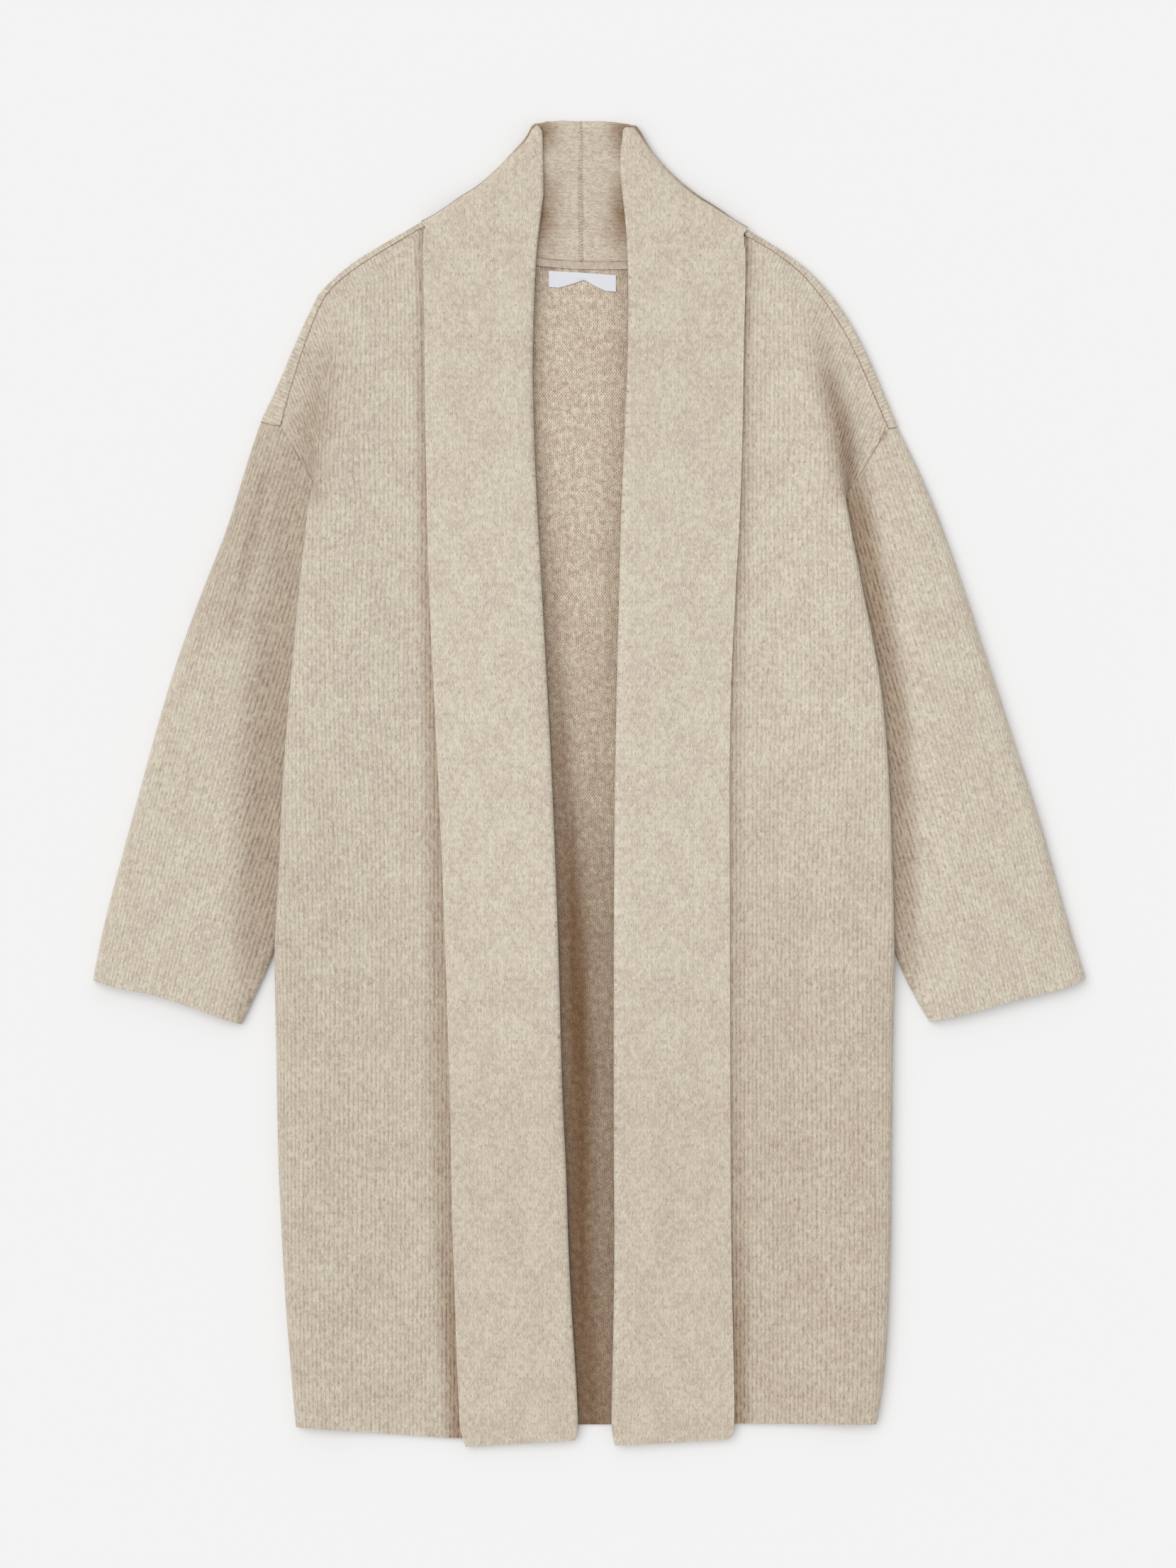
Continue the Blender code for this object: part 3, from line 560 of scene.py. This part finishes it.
PIT_BOTTOM_Y = (225.0, 250.0)
PIT_TOP_Y = (300.0, 410.0)


def front_painted_shade(side, p):
    """Painted shade: deep in a valley beside the collar, a little low down, a pit beyond the side
    fold.
    """
    out, y = SIGN[side] * p[:, 0], p[:, 1]
    away = out - line_at(FALL_EDGE, side, y)
    flat = np.interp(y, VALLEY_Y, VALLEY_FLAT[side])
    end = np.interp(y, VALLEY_Y, VALLEY_END[side])
    deep = np.interp(y, VALLEY_Y, VALLEY_DEPTH[side])
    valley = deep * fall(away, RISE_START * flat, RISE_END * end)
    low = LOW_SHADE[side] * np.interp(y, LOW_SHADE_Y, LOW_SHADE_SHARE)
    beyond = out - line_at(SIDE_FOLD, side, y)
    pit = bell(beyond - PIT_BEYOND, PIT_WIDTH[side]) * step(y, *PIT_BOTTOM_Y) * fall(y, *PIT_TOP_Y)
    return np.maximum(valley, low) + PIT[side] * pit


# %% Painted shade on the sleeves
SLEEVE_Y = (-200.0, -120.0, -62.0, 42.0, 171.0, 240.0, 300.0)
SLEEVE_DEPTH = {
    "left": (0.25, 0.43, 0.47, 0.48, 0.37, 0.35, 0.25),
    "right": (0.28, 0.45, 0.54, 0.60, 0.74, 0.76, 0.22),
}
SLEEVE_RISE = {"left": (20.0, 50.0), "right": (10.0, 29.0)}
FOLD_LIGHT = 0.12
FOLD_WIDTH = 3.0
UPPER_ARM_SHADE = {"left": 0.22, "right": 0.0}
UPPER_ARM_Y = (60.0, 220.0)
TROUGH_DEPTH = {"left": 0.20, "right": 0.0}
TROUGH_START = (272.0, 272.5)
TROUGH_SLOPE = 0.22
TROUGH_WIDTH = 5.5
TROUGH_BOTTOM_Y = (110.0, 150.0)
TROUGH_TOP_Y = (255.0, 285.0)


def sleeve_painted_shade(side, p):
    """Painted shade in a valley along the body and, on the left, a soft trough from the shoulder.
    """
    out, y = SIGN[side] * p[:, 0], p[:, 1]
    away = out - line_at(SIDE_FOLD, side, y)
    deep = np.interp(y, SLEEVE_Y, SLEEVE_DEPTH[side])
    valley = deep * fall(away, *SLEEVE_RISE[side]) - FOLD_LIGHT * bell(away, FOLD_WIDTH)
    upper = UPPER_ARM_SHADE[side] * step(y, *UPPER_ARM_Y)
    start_out, start_y = TROUGH_START
    from_trough = out - start_out - TROUGH_SLOPE * (start_y - y)
    trough = bell(from_trough, TROUGH_WIDTH) * step(y, *TROUGH_BOTTOM_Y) * fall(y, *TROUGH_TOP_Y)
    return np.maximum(valley, upper) + TROUGH_DEPTH[side] * trough


# %% Painted shade on the inside of the back
BACK_Y = (-540.0, -477.0, -373.0, -243.0, -113.0, 0.0, 150.0, 300.0)
BACK_LOW = (0.71, 0.70, 0.66, 0.62, 0.57, 0.32, 0.08, 0.0)
BACK_VALLEY_Y = (-540.0, -373.0, -243.0, -113.0, 145.0, 300.0)
BACK_VALLEY_IN = (11.0, 11.0, 17.0, 15.0, 6.0, 3.0)
BACK_VALLEY_DEPTH = (0.22, 0.34, 0.48, 0.43, 0.42, 0.30)
BACK_VALLEY_WIDTH = (14.0, 8.5)
RIGHT_SHADE = 0.26
RIGHT_SHADE_Y = (0.0, 145.0)
RIGHT_SHADE_WIDTH = 14.0


def back_painted_shade(side, p):
    """Painted shade, darker towards the hem, most in a valley on the left of the opening."""
    x, y = p[:, 0], p[:, 1]
    low = np.interp(y, BACK_Y, BACK_LOW)
    from_left = x + line_at(ROLL_EDGE, "left", y)
    centre = np.interp(y, BACK_VALLEY_Y, BACK_VALLEY_IN)
    width = np.where(from_left < centre, *BACK_VALLEY_WIDTH)
    valley = np.interp(y, BACK_VALLEY_Y, BACK_VALLEY_DEPTH) * bell(from_left - centre, width)
    from_right = np.maximum(line_at(ROLL_EDGE, "right", y) - x, 0.0)
    right_edge = RIGHT_SHADE * step(y, *RIGHT_SHADE_Y) * bell(from_right, RIGHT_SHADE_WIDTH)
    return np.clip(low + valley + right_edge, 0.0, 1.0)


# %% Painted shade on the collar
STAND_CORNER = {"left": 41.0, "right": 29.0}
STAND_CORNER_WIDTH = 13.0
STAND_SHADE = 0.1
NECK_LINE_Y = 484.0
NECK_LINE_WIDTH = 30.0
TOP_LINE_Y = 552.0
TOP_LINE_WIDTH = 15.0
BAND_LOW_SHADE = 0.11
BAND_LOW_Y = (-330.0, -60.0)
BAND_HIGH_SHADE = 0.04
BAND_HIGH_Y = (200.0, 330.0)


def collar_painted_shade(side, p):
    """Painted shade: on the stand darkest beside the bands, near its lower end and at the very top.
    """
    x, y = p[:, 0], p[:, 1]
    near_neck = bell(y - NECK_LINE_Y, NECK_LINE_WIDTH)
    near_top = bell(y - TOP_LINE_Y, TOP_LINE_WIDTH)
    beside = 0.0
    for name, corner in STAND_CORNER.items():
        beside = beside + bell(np.minimum(SIGN[name] * x - corner, 0.0), STAND_CORNER_WIDTH)
    stand = np.maximum(near_neck, near_top) * np.clip(beside, 0.0, 1.0)
    band = BAND_LOW_SHADE * fall(y, *BAND_LOW_Y) + BAND_HIGH_SHADE * step(y, *BAND_HIGH_Y)
    return np.where(on_stand(p), STAND_SHADE + (1.0 - STAND_SHADE) * stand, band)


# %% [markdown]
# The points in the groove of a seam get painted shade of their own, a little less at the collar's
# centre back. A second mask marks the upright walls along the edges, and the wool on them gets a
# paler, cooler tint: a painted highlight.

# %% The painted shade and painted highlight masks
PAINTED_SHADES = {
    "front": front_painted_shade,
    "sleeve": sleeve_painted_shade,
    "collar": collar_painted_shade,
    "back": back_painted_shade,
}
# Painted shade in the seam grooves, a little less at the collar's centre back.
SEAM_SHADE = 0.6
NECK_SEAM_SHADE = 0.55
NECK_SEAM_OUT = 20.0
# How far a wall turns from level before its painted highlight starts and is full.
WALL_TURN = (0.1, 0.8)


def write_mask(piece, name, values):
    piece.data.attributes.new(name, "FLOAT", "POINT").data.foreach_set("value", values)


def paint_shade_and_highlight(node, piece):
    kind, _, side = node.partition("_")
    p = points_of(piece) * 1000.0
    normals = np.zeros(len(p) * 3)
    piece.data.vertex_normals.foreach_get("vector", normals)
    # The upright walls get a painted highlight, the hollows and seam grooves painted shade.
    write_mask(piece, "rim_highlight", step(1.0 - normals.reshape(-1, 3)[:, 2], *WALL_TURN))
    painted_shade_mask = PAINTED_SHADES[kind](side, p) if kind in PAINTED_SHADES else np.zeros(len(p))
    seams = sorted(seam_points[node])
    centre_back = np.abs(p[seams, 0]) < NECK_SEAM_OUT
    painted_shade_mask[seams] = np.where(centre_back, NECK_SEAM_SHADE, SEAM_SHADE)
    painted_shade_mask = np.clip(painted_shade_mask, 0.0, 1.0)
    write_mask(piece, "painted_shade", painted_shade_mask)
    return painted_shade_mask.max()


for node, piece in panels.items():
    print(node, "deepest hollow %.2f" % paint_shade_and_highlight(node, piece))

# %% [markdown]
# ## Stitches of the neck seam
#
# The collar's two halves are joined behind the neck by a row of small slanted stitches, left and
# right in turn. Each is one stretched ball of yarn, set on the seam at the height that the cloth
# has there.

# %% The stitches
STITCH_STEP = 0.0024
STITCH_SIZE = (0.0014, 0.0006, 0.0007)
STITCH_TURN = math.radians(34.0)
STITCH_Y = (0.446, 0.556)
SEAM_OUT = 0.020
SEAM_NEAR = 0.004
yarn_row = bmesh.new()
seam = np.array([
    panels[node].data.vertices[index].co
    for node in ("collar_left", "collar_right")
    for index in seam_points[node]
])
seam = seam[np.abs(seam[:, 0]) < SEAM_OUT]
for number, y in enumerate(np.arange(*STITCH_Y, STITCH_STEP)):
    near = seam[np.abs(seam[:, 1] - y) < SEAM_NEAR]
    if not len(near):
        continue
    place = Matrix.Translation((near[:, 0].mean(), y, near[:, 2].max()))
    turn = Matrix.Rotation(STITCH_TURN if number % 2 else -STITCH_TURN, 4, "Z")
    ball = place @ turn @ Matrix.Diagonal((*STITCH_SIZE, 1.0))
    bmesh.ops.create_uvsphere(yarn_row, u_segments=8, v_segments=5, radius=1.0, matrix=ball)
stitches = as_object(yarn_row, "neck_seam_stitches")
stitches.data.shade_smooth()
print("stitches have", len(stitches.data.polygons), "faces")

# %% [markdown]
# ## Building materials from small parts
#
# Knit, marl and nap are each used on more than one material, so each is a node group with named
# inputs. Short helpers keep the node code readable: put adds a node and fills its inputs, calc
# does arithmetic, ramp makes a mask, and mixed and tinted join colours.

# %% Node helpers


def put(tree, kind, inputs=None, **settings):
    """A node with its settings. Each input is linked to a socket or set to a value."""
    node = tree.nodes.new(kind)
    for key, value in settings.items():
        setattr(node, key, value)
    for key, value in (inputs or {}).items():
        if isinstance(value, bpy.types.NodeSocket):
            tree.links.new(value, node.inputs[key])
        else:
            node.inputs[key].default_value = value
    return node


def calc(tree, operation, *values):
    """Arithmetic on sockets and numbers."""
    return put(tree, "ShaderNodeMath", dict(enumerate(values)), operation=operation).outputs[0]


def ramp(tree, value, low, high):
    """0 below low and 1 above high."""
    inputs = {"Value": value, "From Min": low, "From Max": high}
    node = put(tree, "ShaderNodeMapRange", inputs, interpolation_type="SMOOTHSTEP")
    return node.outputs[0]


def blended(tree, blend_type, share, first, second):
    """The Mix node also has sockets for numbers. Its colours are inputs 6 and 7 and output 2."""
    inputs = {0: share, 6: first, 7: second}
    node = put(tree, "ShaderNodeMix", inputs, data_type="RGBA", blend_type=blend_type)
    return node.outputs[2]


def mixed(tree, share, first, second):
    """A colour between two others."""
    return blended(tree, "MIX", share, first, second)


def tinted(tree, share, colour, tint):
    """The colour times the tint, as far as share says."""
    return blended(tree, "MULTIPLY", share, colour, tint)


def stretched_noise(tree, place, across, along, detail=2.0, seed=0.0):
    """Soft spots this many millimetres across the wales and along them."""
    start = (seed, seed * 1.7, 0.0)
    scale = (1.0 / across, 1.0 / along, 1.0)
    inputs = {"Vector": place, "Location": start, "Scale": scale}
    scaled = put(tree, "ShaderNodeMapping", inputs).outputs[0]
    inputs = {"Vector": scaled, "Scale": 1.0, "Detail": detail, "Roughness": 0.6}
    return put(tree, "ShaderNodeTexNoise", inputs, noise_dimensions="2D").outputs[0]


def new_group(name, inputs, outputs):
    tree = bpy.data.node_groups.new(name, "ShaderNodeTree")
    for socket, kind, value in inputs:
        made = tree.interface.new_socket(name=socket, in_out="INPUT", socket_type=kind)
        if value is not None:
            made.default_value = value
    for socket, kind in outputs:
        tree.interface.new_socket(name=socket, in_out="OUTPUT", socket_type=kind)
    print("group", name)
    return tree, put(tree, "NodeGroupInput").outputs, put(tree, "NodeGroupOutput").inputs


def group_node(tree, group, **inputs):
    return put(tree, "ShaderNodeGroup", inputs, node_tree=group).outputs


FLOAT = "NodeSocketFloat"
COLOUR = "NodeSocketColor"
VECTOR = "NodeSocketVector"

# %% [markdown]
# ## Ribs of plain knit
#
# Each wale is a row of V-shaped stitches, about 3.4 mm wide. Between two wales is a fine dark
# groove, which wanders a little and is hidden here and there by hairs. Modelling each stitch
# would need millions of faces, so the group gives a height for the bump and a mask of the
# grooves.

# %% The rib group
WALE_WIDTH = 3.4
STITCH_LENGTH = 2.7
V_SLANT = 0.55
V_HEIGHT = 0.7
GROOVE_POWER = 2.2
ribs, put_in, put_out = new_group(
    "Knit ribs",
    [("Place", VECTOR, None), ("Pitch", FLOAT, WALE_WIDTH), ("Wander", FLOAT, 1.2)],
    [("Height", FLOAT), ("Groove", FLOAT)],
)
place = put_in["Place"]
parts = put(ribs, "ShaderNodeSeparateXYZ", {0: place}).outputs
drift = calc(ribs, "SUBTRACT", stretched_noise(ribs, place, across=9.0, along=40.0), 0.5)
drift = calc(ribs, "MULTIPLY", drift, put_in["Wander"])
phase = calc(ribs, "DIVIDE", calc(ribs, "ADD", parts[0], drift), put_in["Pitch"])
from_groove = calc(ribs, "MULTIPLY", calc(ribs, "PINGPONG", phase, 0.5), 2.0)
dome = calc(ribs, "SINE", calc(ribs, "MULTIPLY", from_groove, math.pi / 2.0))
stitch = calc(ribs, "DIVIDE", parts[1], STITCH_LENGTH)
stitch = calc(ribs, "ADD", stitch, calc(ribs, "MULTIPLY", from_groove, V_SLANT))
stitch = calc(ribs, "MULTIPLY", calc(ribs, "PINGPONG", stitch, 0.5), V_HEIGHT)
height = calc(ribs, "ADD", dome, calc(ribs, "MULTIPLY", stitch, dome))
ribs.links.new(height, put_out["Height"])
narrow = calc(ribs, "POWER", calc(ribs, "SUBTRACT", 1.0, from_groove), GROOVE_POWER)
hairs = stretched_noise(ribs, place, across=2.6, along=8.0, detail=3.0, seed=5.0)
groove = calc(ribs, "MULTIPLY", narrow, ramp(ribs, hairs, 0.36, 0.62))
ribs.links.new(groove, put_out["Groove"])

# %% [markdown]
# ## The marl yarn
#
# The yarn is spun from cream, beige and grey-brown wool. Close up it shows short flecks along the
# wales, and from further off soft clouds. Three sizes of noise do this: clouds 20 to 35 mm wide,
# patches of a few millimetres, and flecks under a millimetre wide and three to four long.

# %% The marl group
CLOUD_SHARE = 0.34
PATCH_SHARE = 0.66
PALE_FLECKS = 0.75
DARK_FLECKS = 0.7
marl, put_in, put_out = new_group(
    "Marl yarn",
    [
        ("Place", VECTOR, None),
        ("Wool", COLOUR, (0.69, 0.635, 0.51, 1.0)),
        ("Warm wool", COLOUR, (0.56, 0.465, 0.385, 1.0)),
        ("Cream", COLOUR, (0.82, 0.77, 0.62, 1.0)),
        ("Dark", COLOUR, (0.32, 0.25, 0.20, 1.0)),
        ("Flecks", FLOAT, 1.0),
    ],
    [("Color", COLOUR)],
)
place = put_in["Place"]
clouds = stretched_noise(marl, place, across=22.0, along=34.0, detail=3.0, seed=1.0)
clouds = calc(marl, "MULTIPLY", ramp(marl, clouds, 0.34, 0.66), CLOUD_SHARE)
patches = stretched_noise(marl, place, across=4.4, along=6.4, detail=4.0, seed=9.0)
patches = calc(marl, "MULTIPLY", ramp(marl, patches, 0.35, 0.65), PATCH_SHARE)
wool = mixed(marl, calc(marl, "ADD", clouds, patches), put_in["Wool"], put_in["Warm wool"])
pale = stretched_noise(marl, place, across=0.9, along=3.4, seed=21.0)
pale = calc(marl, "MULTIPLY", ramp(marl, pale, 0.52, 0.74), PALE_FLECKS)
pale = calc(marl, "MULTIPLY", pale, put_in["Flecks"])
wool = mixed(marl, pale, wool, put_in["Cream"])
dark = stretched_noise(marl, place, across=0.9, along=3.8, seed=37.0)
dark = calc(marl, "MULTIPLY", ramp(marl, dark, 0.55, 0.76), DARK_FLECKS)
dark = calc(marl, "MULTIPLY", dark, put_in["Flecks"])
wool = mixed(marl, dark, wool, put_in["Dark"])
marl.links.new(wool, put_out["Color"])

# %% [markdown]
# ## The brushed nap
#
# Brushing raises a thin felt of hairs over the stitches. It softens the ribs and leaves a fine
# uneven surface. The group gives that unevenness as a height, to be added to the ribs under one
# Bump node.

# %% The nap group
FINE_SHARE = 0.6
nap, put_in, put_out = new_group("Brushed nap", [("Place", VECTOR, None)], [("Height", FLOAT)])
place = put_in["Place"]
fine = stretched_noise(nap, place, across=0.7, along=1.6, detail=3.0, seed=3.0)
fine = calc(nap, "MULTIPLY", fine, FINE_SHARE)
tufts = stretched_noise(nap, place, across=2.6, along=4.0, seed=13.0)
nap.links.new(calc(nap, "ADD", fine, tufts), put_out["Height"])

# %% [markdown]
# ## The outer knit
#
# Fronts, sleeves, shoulder strips and collar share one yarn, with different amounts of rib: the
# collar is brushed harder, so its ribs nearly vanish. Each mix is the same recipe with other
# numbers. The painted shade mask darkens the colour and, where it is deep, paints the grooves
# darker too. The mask on the upright walls paints a paler highlight there. The hairs catch light
# at grazing angles, which the Principled shader's sheen gives.

# %% The knit recipe
# The tint of the painted shade.
PAINTED_SHADE_TINT = (0.45, 0.325, 0.24, 1.0)
# The tint of the painted highlight on the upright walls.
RIM_HIGHLIGHT_TINT = (1.06, 1.10, 1.16, 1.0)
GROOVE_TINT = (0.45, 0.36, 0.28, 1.0)
# How much darker the grooves are painted where the painted shade is deep.
GROOVES_IN_PAINTED_SHADE = 2.5
KNIT_DEPTH = 0.00035
CLOTH_SPECULAR = 0.15
SHEEN_ROUGHNESS = 0.6
SHEEN_TINT = (0.95, 0.90, 0.80, 1.0)
PLAIN = (1.0, 1.0, 1.0, 1.0)


def start_material(name, rough, sheen):
    """A new material with its tree and its shader, set up as cloth."""
    made = bpy.data.materials.new(name)
    made.use_nodes = True
    shader = made.node_tree.nodes["Principled BSDF"]
    shader.inputs["Roughness"].default_value = rough
    shader.inputs["Specular IOR Level"].default_value = CLOTH_SPECULAR
    shader.inputs["Sheen Weight"].default_value = sheen
    shader.inputs["Sheen Roughness"].default_value = SHEEN_ROUGHNESS
    shader.inputs["Sheen Tint"].default_value = SHEEN_TINT
    return made, made.node_tree, shader


def wale_place(tree):
    return put(tree, "ShaderNodeUVMap", uv_map="ribs").outputs[0]


def read_mask(tree, name):
    return put(tree, "ShaderNodeAttribute", attribute_name=name).outputs["Fac"]


def bump(tree, shader, height, depth):
    """depth is in metres, for a height of 1."""
    inputs = {"Strength": 1.0, "Distance": depth, "Height": height}
    tree.links.new(put(tree, "ShaderNodeBump", inputs).outputs[0], shader.inputs["Normal"])


def knit(name, rib_height, groove_shade, flecks, tone=PLAIN):
    """Ribbed wool: marl yarn, darker grooves, its own tone, painted shade and a painted highlight.
    """
    made, tree, shader = start_material(name, rough=0.92, sheen=0.25)
    place = wale_place(tree)
    painted_shade = read_mask(tree, "painted_shade")
    rib = group_node(tree, ribs, Place=place)
    yarn = group_node(tree, marl, Place=place, Flecks=flecks)["Color"]
    felt = group_node(tree, nap, Place=place)["Height"]
    # The grooves are painted darker where the painted shade is deep.
    shade = calc(tree, "MULTIPLY_ADD", painted_shade, GROOVES_IN_PAINTED_SHADE, 1.0)
    shade = calc(tree, "MULTIPLY", groove_shade, shade)
    colour = tinted(tree, calc(tree, "MULTIPLY", rib["Groove"], shade), yarn, GROOVE_TINT)
    colour = tinted(tree, 1.0, colour, tone)
    # Painted shade from the mask, then a painted highlight on the upright walls.
    colour = tinted(tree, painted_shade, colour, PAINTED_SHADE_TINT)
    colour = tinted(tree, read_mask(tree, "rim_highlight"), colour, RIM_HIGHLIGHT_TINT)
    tree.links.new(colour, shader.inputs["Base Color"])
    height = calc(tree, "ADD", calc(tree, "MULTIPLY", rib["Height"], rib_height), felt)
    bump(tree, shader, height, KNIT_DEPTH)
    print(name)
    return made


outer_knit = knit("outer knit", rib_height=0.75, groove_shade=0.38, flecks=0.95)
collar_knit = knit("collar knit", rib_height=0.2, groove_shade=0.12, flecks=1.0)

# %% [markdown]
# ## The inside of the back
#
# The inner face of plain knit shows no ribs but rows of interlocked loops, looser and less
# brushed. A ring in each cell of a grid, with every other column shifted half a row, reads as
# those loops: the ring is the yarn and its middle a dark gap. In places felt hides most of the
# gap, and darker spots a few millimetres wide make the face uneven.

# %% The loop material
LOOP_LENGTH = 2.9
RING_RADIUS = 0.36
GAP_LEAST = 0.34
GAP_RANGE = 0.4
SPOT_SHARE = 0.62
SPOT_TINT = (0.74, 0.70, 0.66, 1.0)
INSIDE_TONE = (1.41, 1.39, 1.39, 1.0)
# The tint of the painted shade on the inside.
INSIDE_PAINTED_SHADE_TINT = (0.28, 0.18, 0.112, 1.0)
LOOP_DEPTH = 0.0006
inside_knit, tree, shader = start_material("inside of the knit", rough=0.95, sheen=0.15)
place = wale_place(tree)
parts = put(tree, "ShaderNodeSeparateXYZ", {0: place}).outputs
drift = calc(tree, "SUBTRACT", stretched_noise(tree, place, across=7.0, along=9.0, seed=2.0), 0.5)
column = calc(tree, "DIVIDE", calc(tree, "ADD", parts[0], drift), WALE_WIDTH)
course = calc(tree, "DIVIDE", calc(tree, "ADD", parts[1], drift), LOOP_LENGTH)
course = calc(tree, "ADD", course, calc(tree, "MULTIPLY", calc(tree, "FLOOR", column), 0.5))
cell_x = calc(tree, "SUBTRACT", calc(tree, "FRACT", column), 0.5)
cell_y = calc(tree, "SUBTRACT", calc(tree, "FRACT", course), 0.5)
squares = [calc(tree, "MULTIPLY", part, part) for part in (cell_x, cell_y)]
radius = calc(tree, "SQRT", calc(tree, "ADD", *squares))
ring = calc(tree, "ABSOLUTE", calc(tree, "SUBTRACT", radius, RING_RADIUS))
loop = calc(tree, "SUBTRACT", 1.0, ramp(tree, ring, 0.02, 0.26))
yarn = group_node(tree, marl, Place=place, Flecks=1.0)["Color"]
felt = group_node(tree, nap, Place=place)["Height"]
felted = stretched_noise(tree, place, across=5.0, along=6.0, seed=4.0)
shown = calc(tree, "MULTIPLY_ADD", ramp(tree, felted, 0.35, 0.6), GAP_RANGE, GAP_LEAST)
gap = calc(tree, "MULTIPLY", calc(tree, "SUBTRACT", 1.0, loop), shown)
spots = stretched_noise(tree, place, across=4.5, along=5.5, seed=14.0)
spots = calc(tree, "MULTIPLY", ramp(tree, spots, 0.38, 0.62), SPOT_SHARE)
colour = tinted(tree, 1.0, yarn, INSIDE_TONE)
colour = tinted(tree, spots, colour, SPOT_TINT)
colour = tinted(tree, gap, colour, GROOVE_TINT)
# Painted shade from the mask: darker and browner towards the hem.
colour = tinted(tree, read_mask(tree, "painted_shade"), colour, INSIDE_PAINTED_SHADE_TINT)
tree.links.new(colour, shader.inputs["Base Color"])
bump(tree, shader, calc(tree, "ADD", loop, felt), LOOP_DEPTH)
print("inside of the knit")

# %% [markdown]
# ## Tape, label and stitches
#
# The tape over the neck seam is the same wool, firmer and a little darker. The label is white
# woven satin, so it is the one smooth and slightly shiny piece. The seam's stitches are a plain
# yarn.

# %% Tape, label and stitch materials
TAPE_TONE = (0.87, 0.82, 0.82, 1.0)
SATIN = (0.78, 0.79, 0.84, 1.0)
SATIN_SHADE = (0.66, 0.67, 0.75, 1.0)
STITCH_YARN = (0.80, 0.75, 0.62, 1.0)
STITCH_YARN_SHADE = (0.55, 0.46, 0.37, 1.0)
tape_knit = knit("neck tape", rib_height=0.4, groove_shade=0.1, flecks=0.6, tone=TAPE_TONE)

label_satin, tree, shader = start_material("label satin", rough=0.42, sheen=0.1)
weave = {"Vector": wale_place(tree), "Scale": 1.1, "Distortion": 0.4}
threads = put(tree, "ShaderNodeTexWave", weave, bands_direction="Y").outputs["Fac"]
colour = mixed(tree, calc(tree, "MULTIPLY", threads, 0.25), SATIN, SATIN_SHADE)
tree.links.new(colour, shader.inputs["Base Color"])
bump(tree, shader, threads, depth=0.00005)
print("label satin")

stitch_yarn, tree, shader = start_material("stitch yarn", rough=0.9, sheen=0.0)
place = put(tree, "ShaderNodeTexCoord").outputs["Object"]
strands = {"Vector": place, "Scale": 900.0, "Detail": 2.0}
strands = put(tree, "ShaderNodeTexNoise", strands).outputs[0]
colour = mixed(tree, ramp(tree, strands, 0.35, 0.65), STITCH_YARN, STITCH_YARN_SHADE)
tree.links.new(colour, shader.inputs["Base Color"])
bump(tree, shader, strands, depth=0.0001)
print("stitch yarn")

# %% [markdown]
# ## Dressing the coat
#
# Each fine panel takes its material, stands for its solid and rides on the coat's one body.

# %% Materials and bodies
LOOKS = {"collar": collar_knit, "back": inside_knit, "neck": tape_knit, "label": label_satin}
for node, piece in panels.items():
    kind = node.partition("_")[0]
    piece.data.materials.clear()
    piece.data.materials.append(LOOKS.get(kind, outer_knit))
    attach(piece, "root")
    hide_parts(node)
stitches.data.materials.append(stitch_yarn)
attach(stitches, "root")
print("dressed", len(panels))

# %% [markdown]
# ## Floor, light and camera
#
# The coat lies on an even near-white surface. A very wide lamp high above, turned a little to the
# upper left, gives the soft short shadows on the right and below, and an even sky fills them. The
# camera looks straight down from close to the middle.

# %% The floor
FLOOR_HALF_WIDTH = 6.0
FLOOR_Z = -0.0006
PAPER = (0.86, 0.86, 0.86, 1.0)
plate = bmesh.new()
bmesh.ops.create_grid(plate, x_segments=1, y_segments=1, size=FLOOR_HALF_WIDTH)
bmesh.ops.translate(plate, verts=plate.verts, vec=(0.0, 0.0, FLOOR_Z))
floor = as_object(plate, "floor")
paper = bpy.data.materials.new("pale paper")
paper.use_nodes = True
shader = paper.node_tree.nodes["Principled BSDF"]
shader.inputs["Base Color"].default_value = PAPER
shader.inputs["Roughness"].default_value = 0.9
shader.inputs["Specular IOR Level"].default_value = 0.0
floor.data.materials.append(paper)

# %% The light
SKY_STRENGTH = 0.595
LAMP_STRENGTH = 1.56
LAMP_WIDTH = math.radians(60.0)
LAMP_TURN = (math.radians(-12.0), math.radians(-22.0), 0.0)
sky = bpy.data.worlds.new("sky")
sky.use_nodes = True
sky.node_tree.nodes["Background"].inputs["Color"].default_value = (1.0, 1.0, 1.0, 1.0)
sky.node_tree.nodes["Background"].inputs["Strength"].default_value = SKY_STRENGTH
scene.world = sky
lamp = bpy.data.lights.new("window", "SUN")
lamp.energy = LAMP_STRENGTH
lamp.angle = LAMP_WIDTH
sun = bpy.data.objects.new("window", lamp)
sun.rotation_euler = LAMP_TURN
scene.collection.objects.link(sun)
scene.view_settings.view_transform = "Standard"
print("light set")

# %% The camera
FOCAL_LENGTH = 85.0
SENSOR = 36.0
VIEW_HEIGHT = 1.3272
CLOTH_Z = 0.008
VIEW_MIDDLE = (-0.0012, 0.0003)
lens = bpy.data.cameras.new("above")
lens.lens = FOCAL_LENGTH
lens.sensor_width = SENSOR
lens.clip_end = 50.0
camera = bpy.data.objects.new("above", lens)
camera.location = (*VIEW_MIDDLE, CLOTH_Z + VIEW_HEIGHT * FOCAL_LENGTH / SENSOR)
scene.collection.objects.link(camera)
scene.camera = camera
print("camera height %.3f m" % camera.location.z)

# %% The end
bpy.context.view_layer.update()
